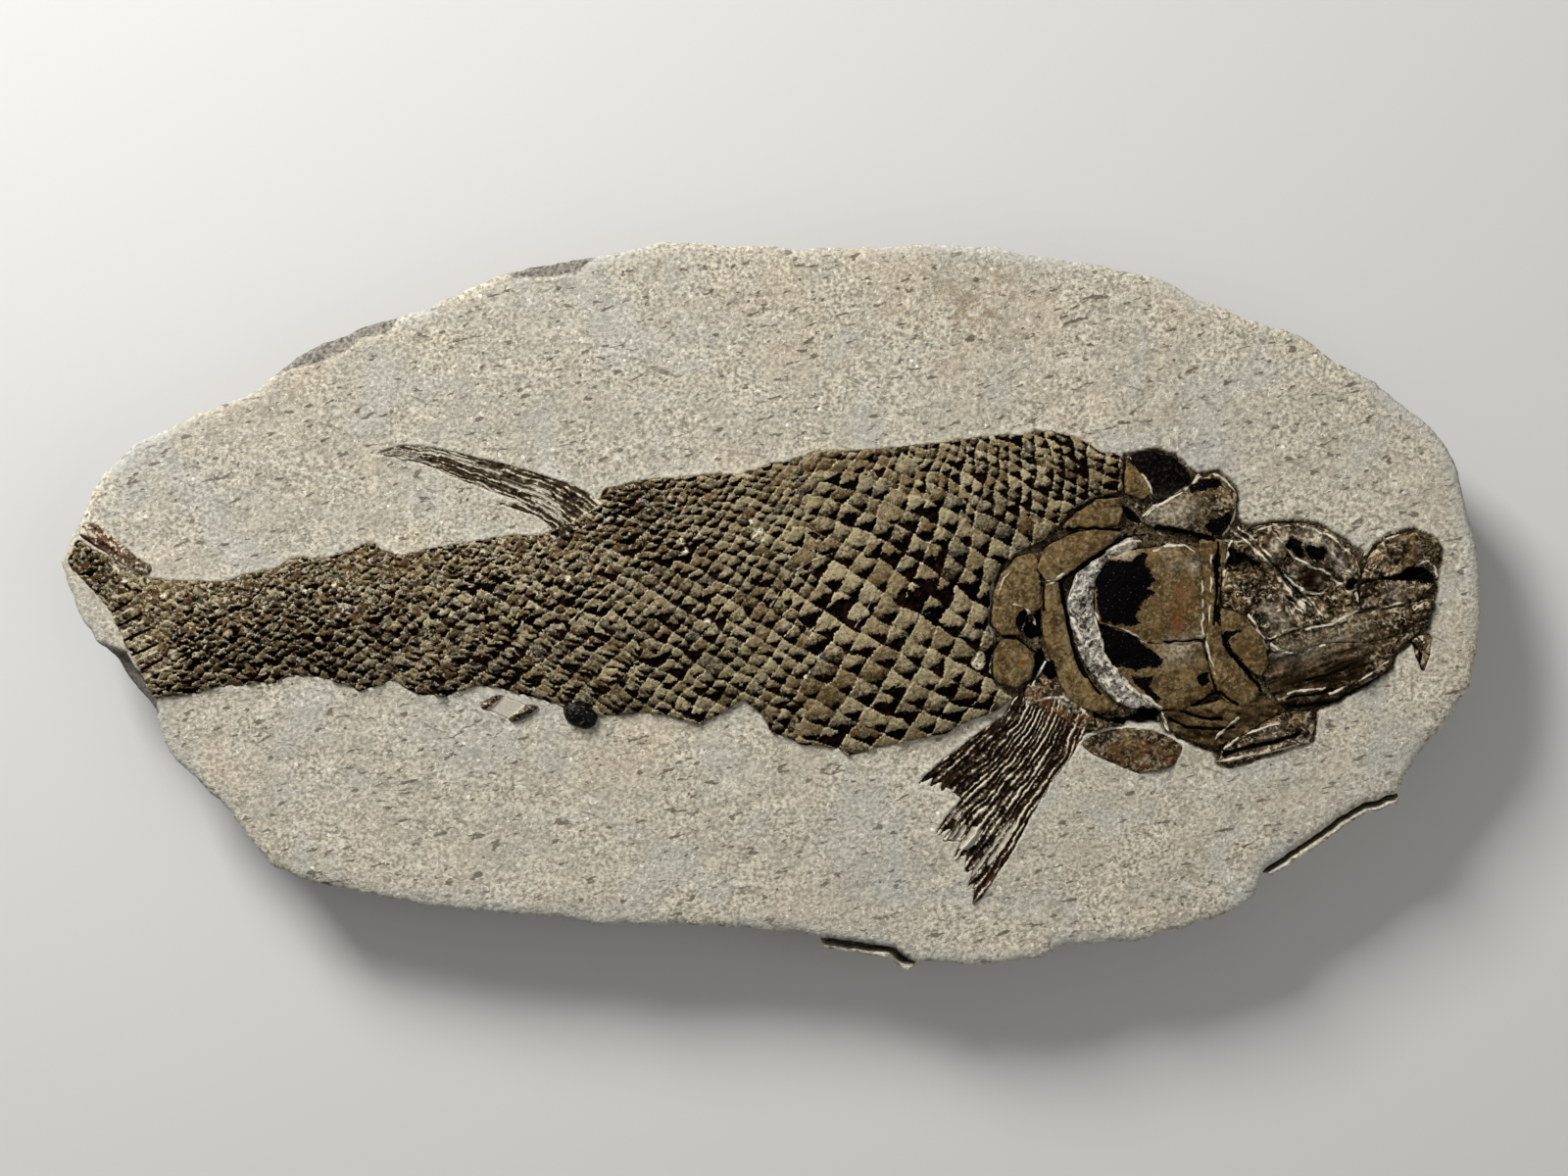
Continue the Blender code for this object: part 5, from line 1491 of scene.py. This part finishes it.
def gloss_finish():
    s = Shader("nodule_gloss")
    fine = s.noise(0.6, 2.0)
    colour = s.blend(s.step(fine, 0.58, 0.66, 0.0, 0.6), (0.002, 0.002, 0.002), (0.12, 0.1, 0.07))
    return s.finish(colour, 0.3, fine, 0.2, GLOSS)


def plain_finish(name, colour, roughness):
    s = Shader(name)
    s.plug(s.surface.inputs["Base Color"], colour)
    s.surface.inputs["Roughness"].default_value = roughness
    return s.material


def make_finishes():
    finishes = {"limestone": rock_finish(), "scale_bone": scale_finish()}
    for name in BONE_KINDS:
        finishes[name] = bone_finish(name)
    return {**finishes, "fin_bone": fin_finish(), "gloss": gloss_finish()}


# ---------------------------------------------------------------- the studio


LIT_POINT = (0, 0, 0.01)
# Each light's place and size in metres, and its power.
LIGHTS = {"key": ((-0.44, 0.62, 0.5), 0.3, 11.5), "fill": ((0.7, -0.3, 0.8), 1.0, 2.5)}
SKY = 0.22  # the strength of the white light from all round
CAMERA_PLACE = (0.0026, 0.003, 0.020 + 0.5333)  # straight above the face
LENS_MM, SENSOR_MM = 60, 36
FLOOR_REACH, FLOOR_HEIGHT = 2000, -0.2  # in millimetres
PAPER = (0.6, 0.59, 0.57)


def area_light(name, place, size, power):
    data = bpy.data.lights.new(name, "AREA")
    data.size = size
    data.energy = power
    light = bpy.data.objects.new(name, data)
    bpy.context.scene.collection.objects.link(light)
    light.location = place
    light.rotation_euler = (Vector(LIT_POINT) - Vector(place)).to_track_quat("-Z", "Y").to_euler()


def build_studio():
    scene = bpy.context.scene
    around = ((-1, -1), (1, -1), (1, 1), (-1, 1))
    corners = [(FLOOR_REACH * x, FLOOR_REACH * y, FLOOR_HEIGHT) for x, y in around]
    solid("floor", corners, [(0, 1, 2, 3)], {}, plain_finish("floor_paper", PAPER, 0.9))
    for name, (place, size, power) in LIGHTS.items():
        area_light(name, place, size, power)
    world = bpy.data.worlds.new("studio")
    world.use_nodes = True
    background = world.node_tree.nodes["Background"]
    background.inputs["Color"].default_value = (1.0, 1.0, 1.0, 1.0)
    background.inputs["Strength"].default_value = SKY
    scene.world = world
    scene.view_settings.view_transform = "Standard"
    data = bpy.data.cameras.new("camera")
    data.lens = LENS_MM
    data.sensor_width = SENSOR_MM
    camera = bpy.data.objects.new("camera", data)
    scene.collection.objects.link(camera)
    camera.location = CAMERA_PLACE
    scene.camera = camera


def main():
    finishes = make_finishes()
    covers = [build_coat(finishes)]
    covers += [make_bone(node, finishes) for node in BONES]
    covers += [build_fin(node, finishes) for node in FINS]
    build_nodule(finishes)
    build_slab(covers, finishes)
    build_studio()


main()
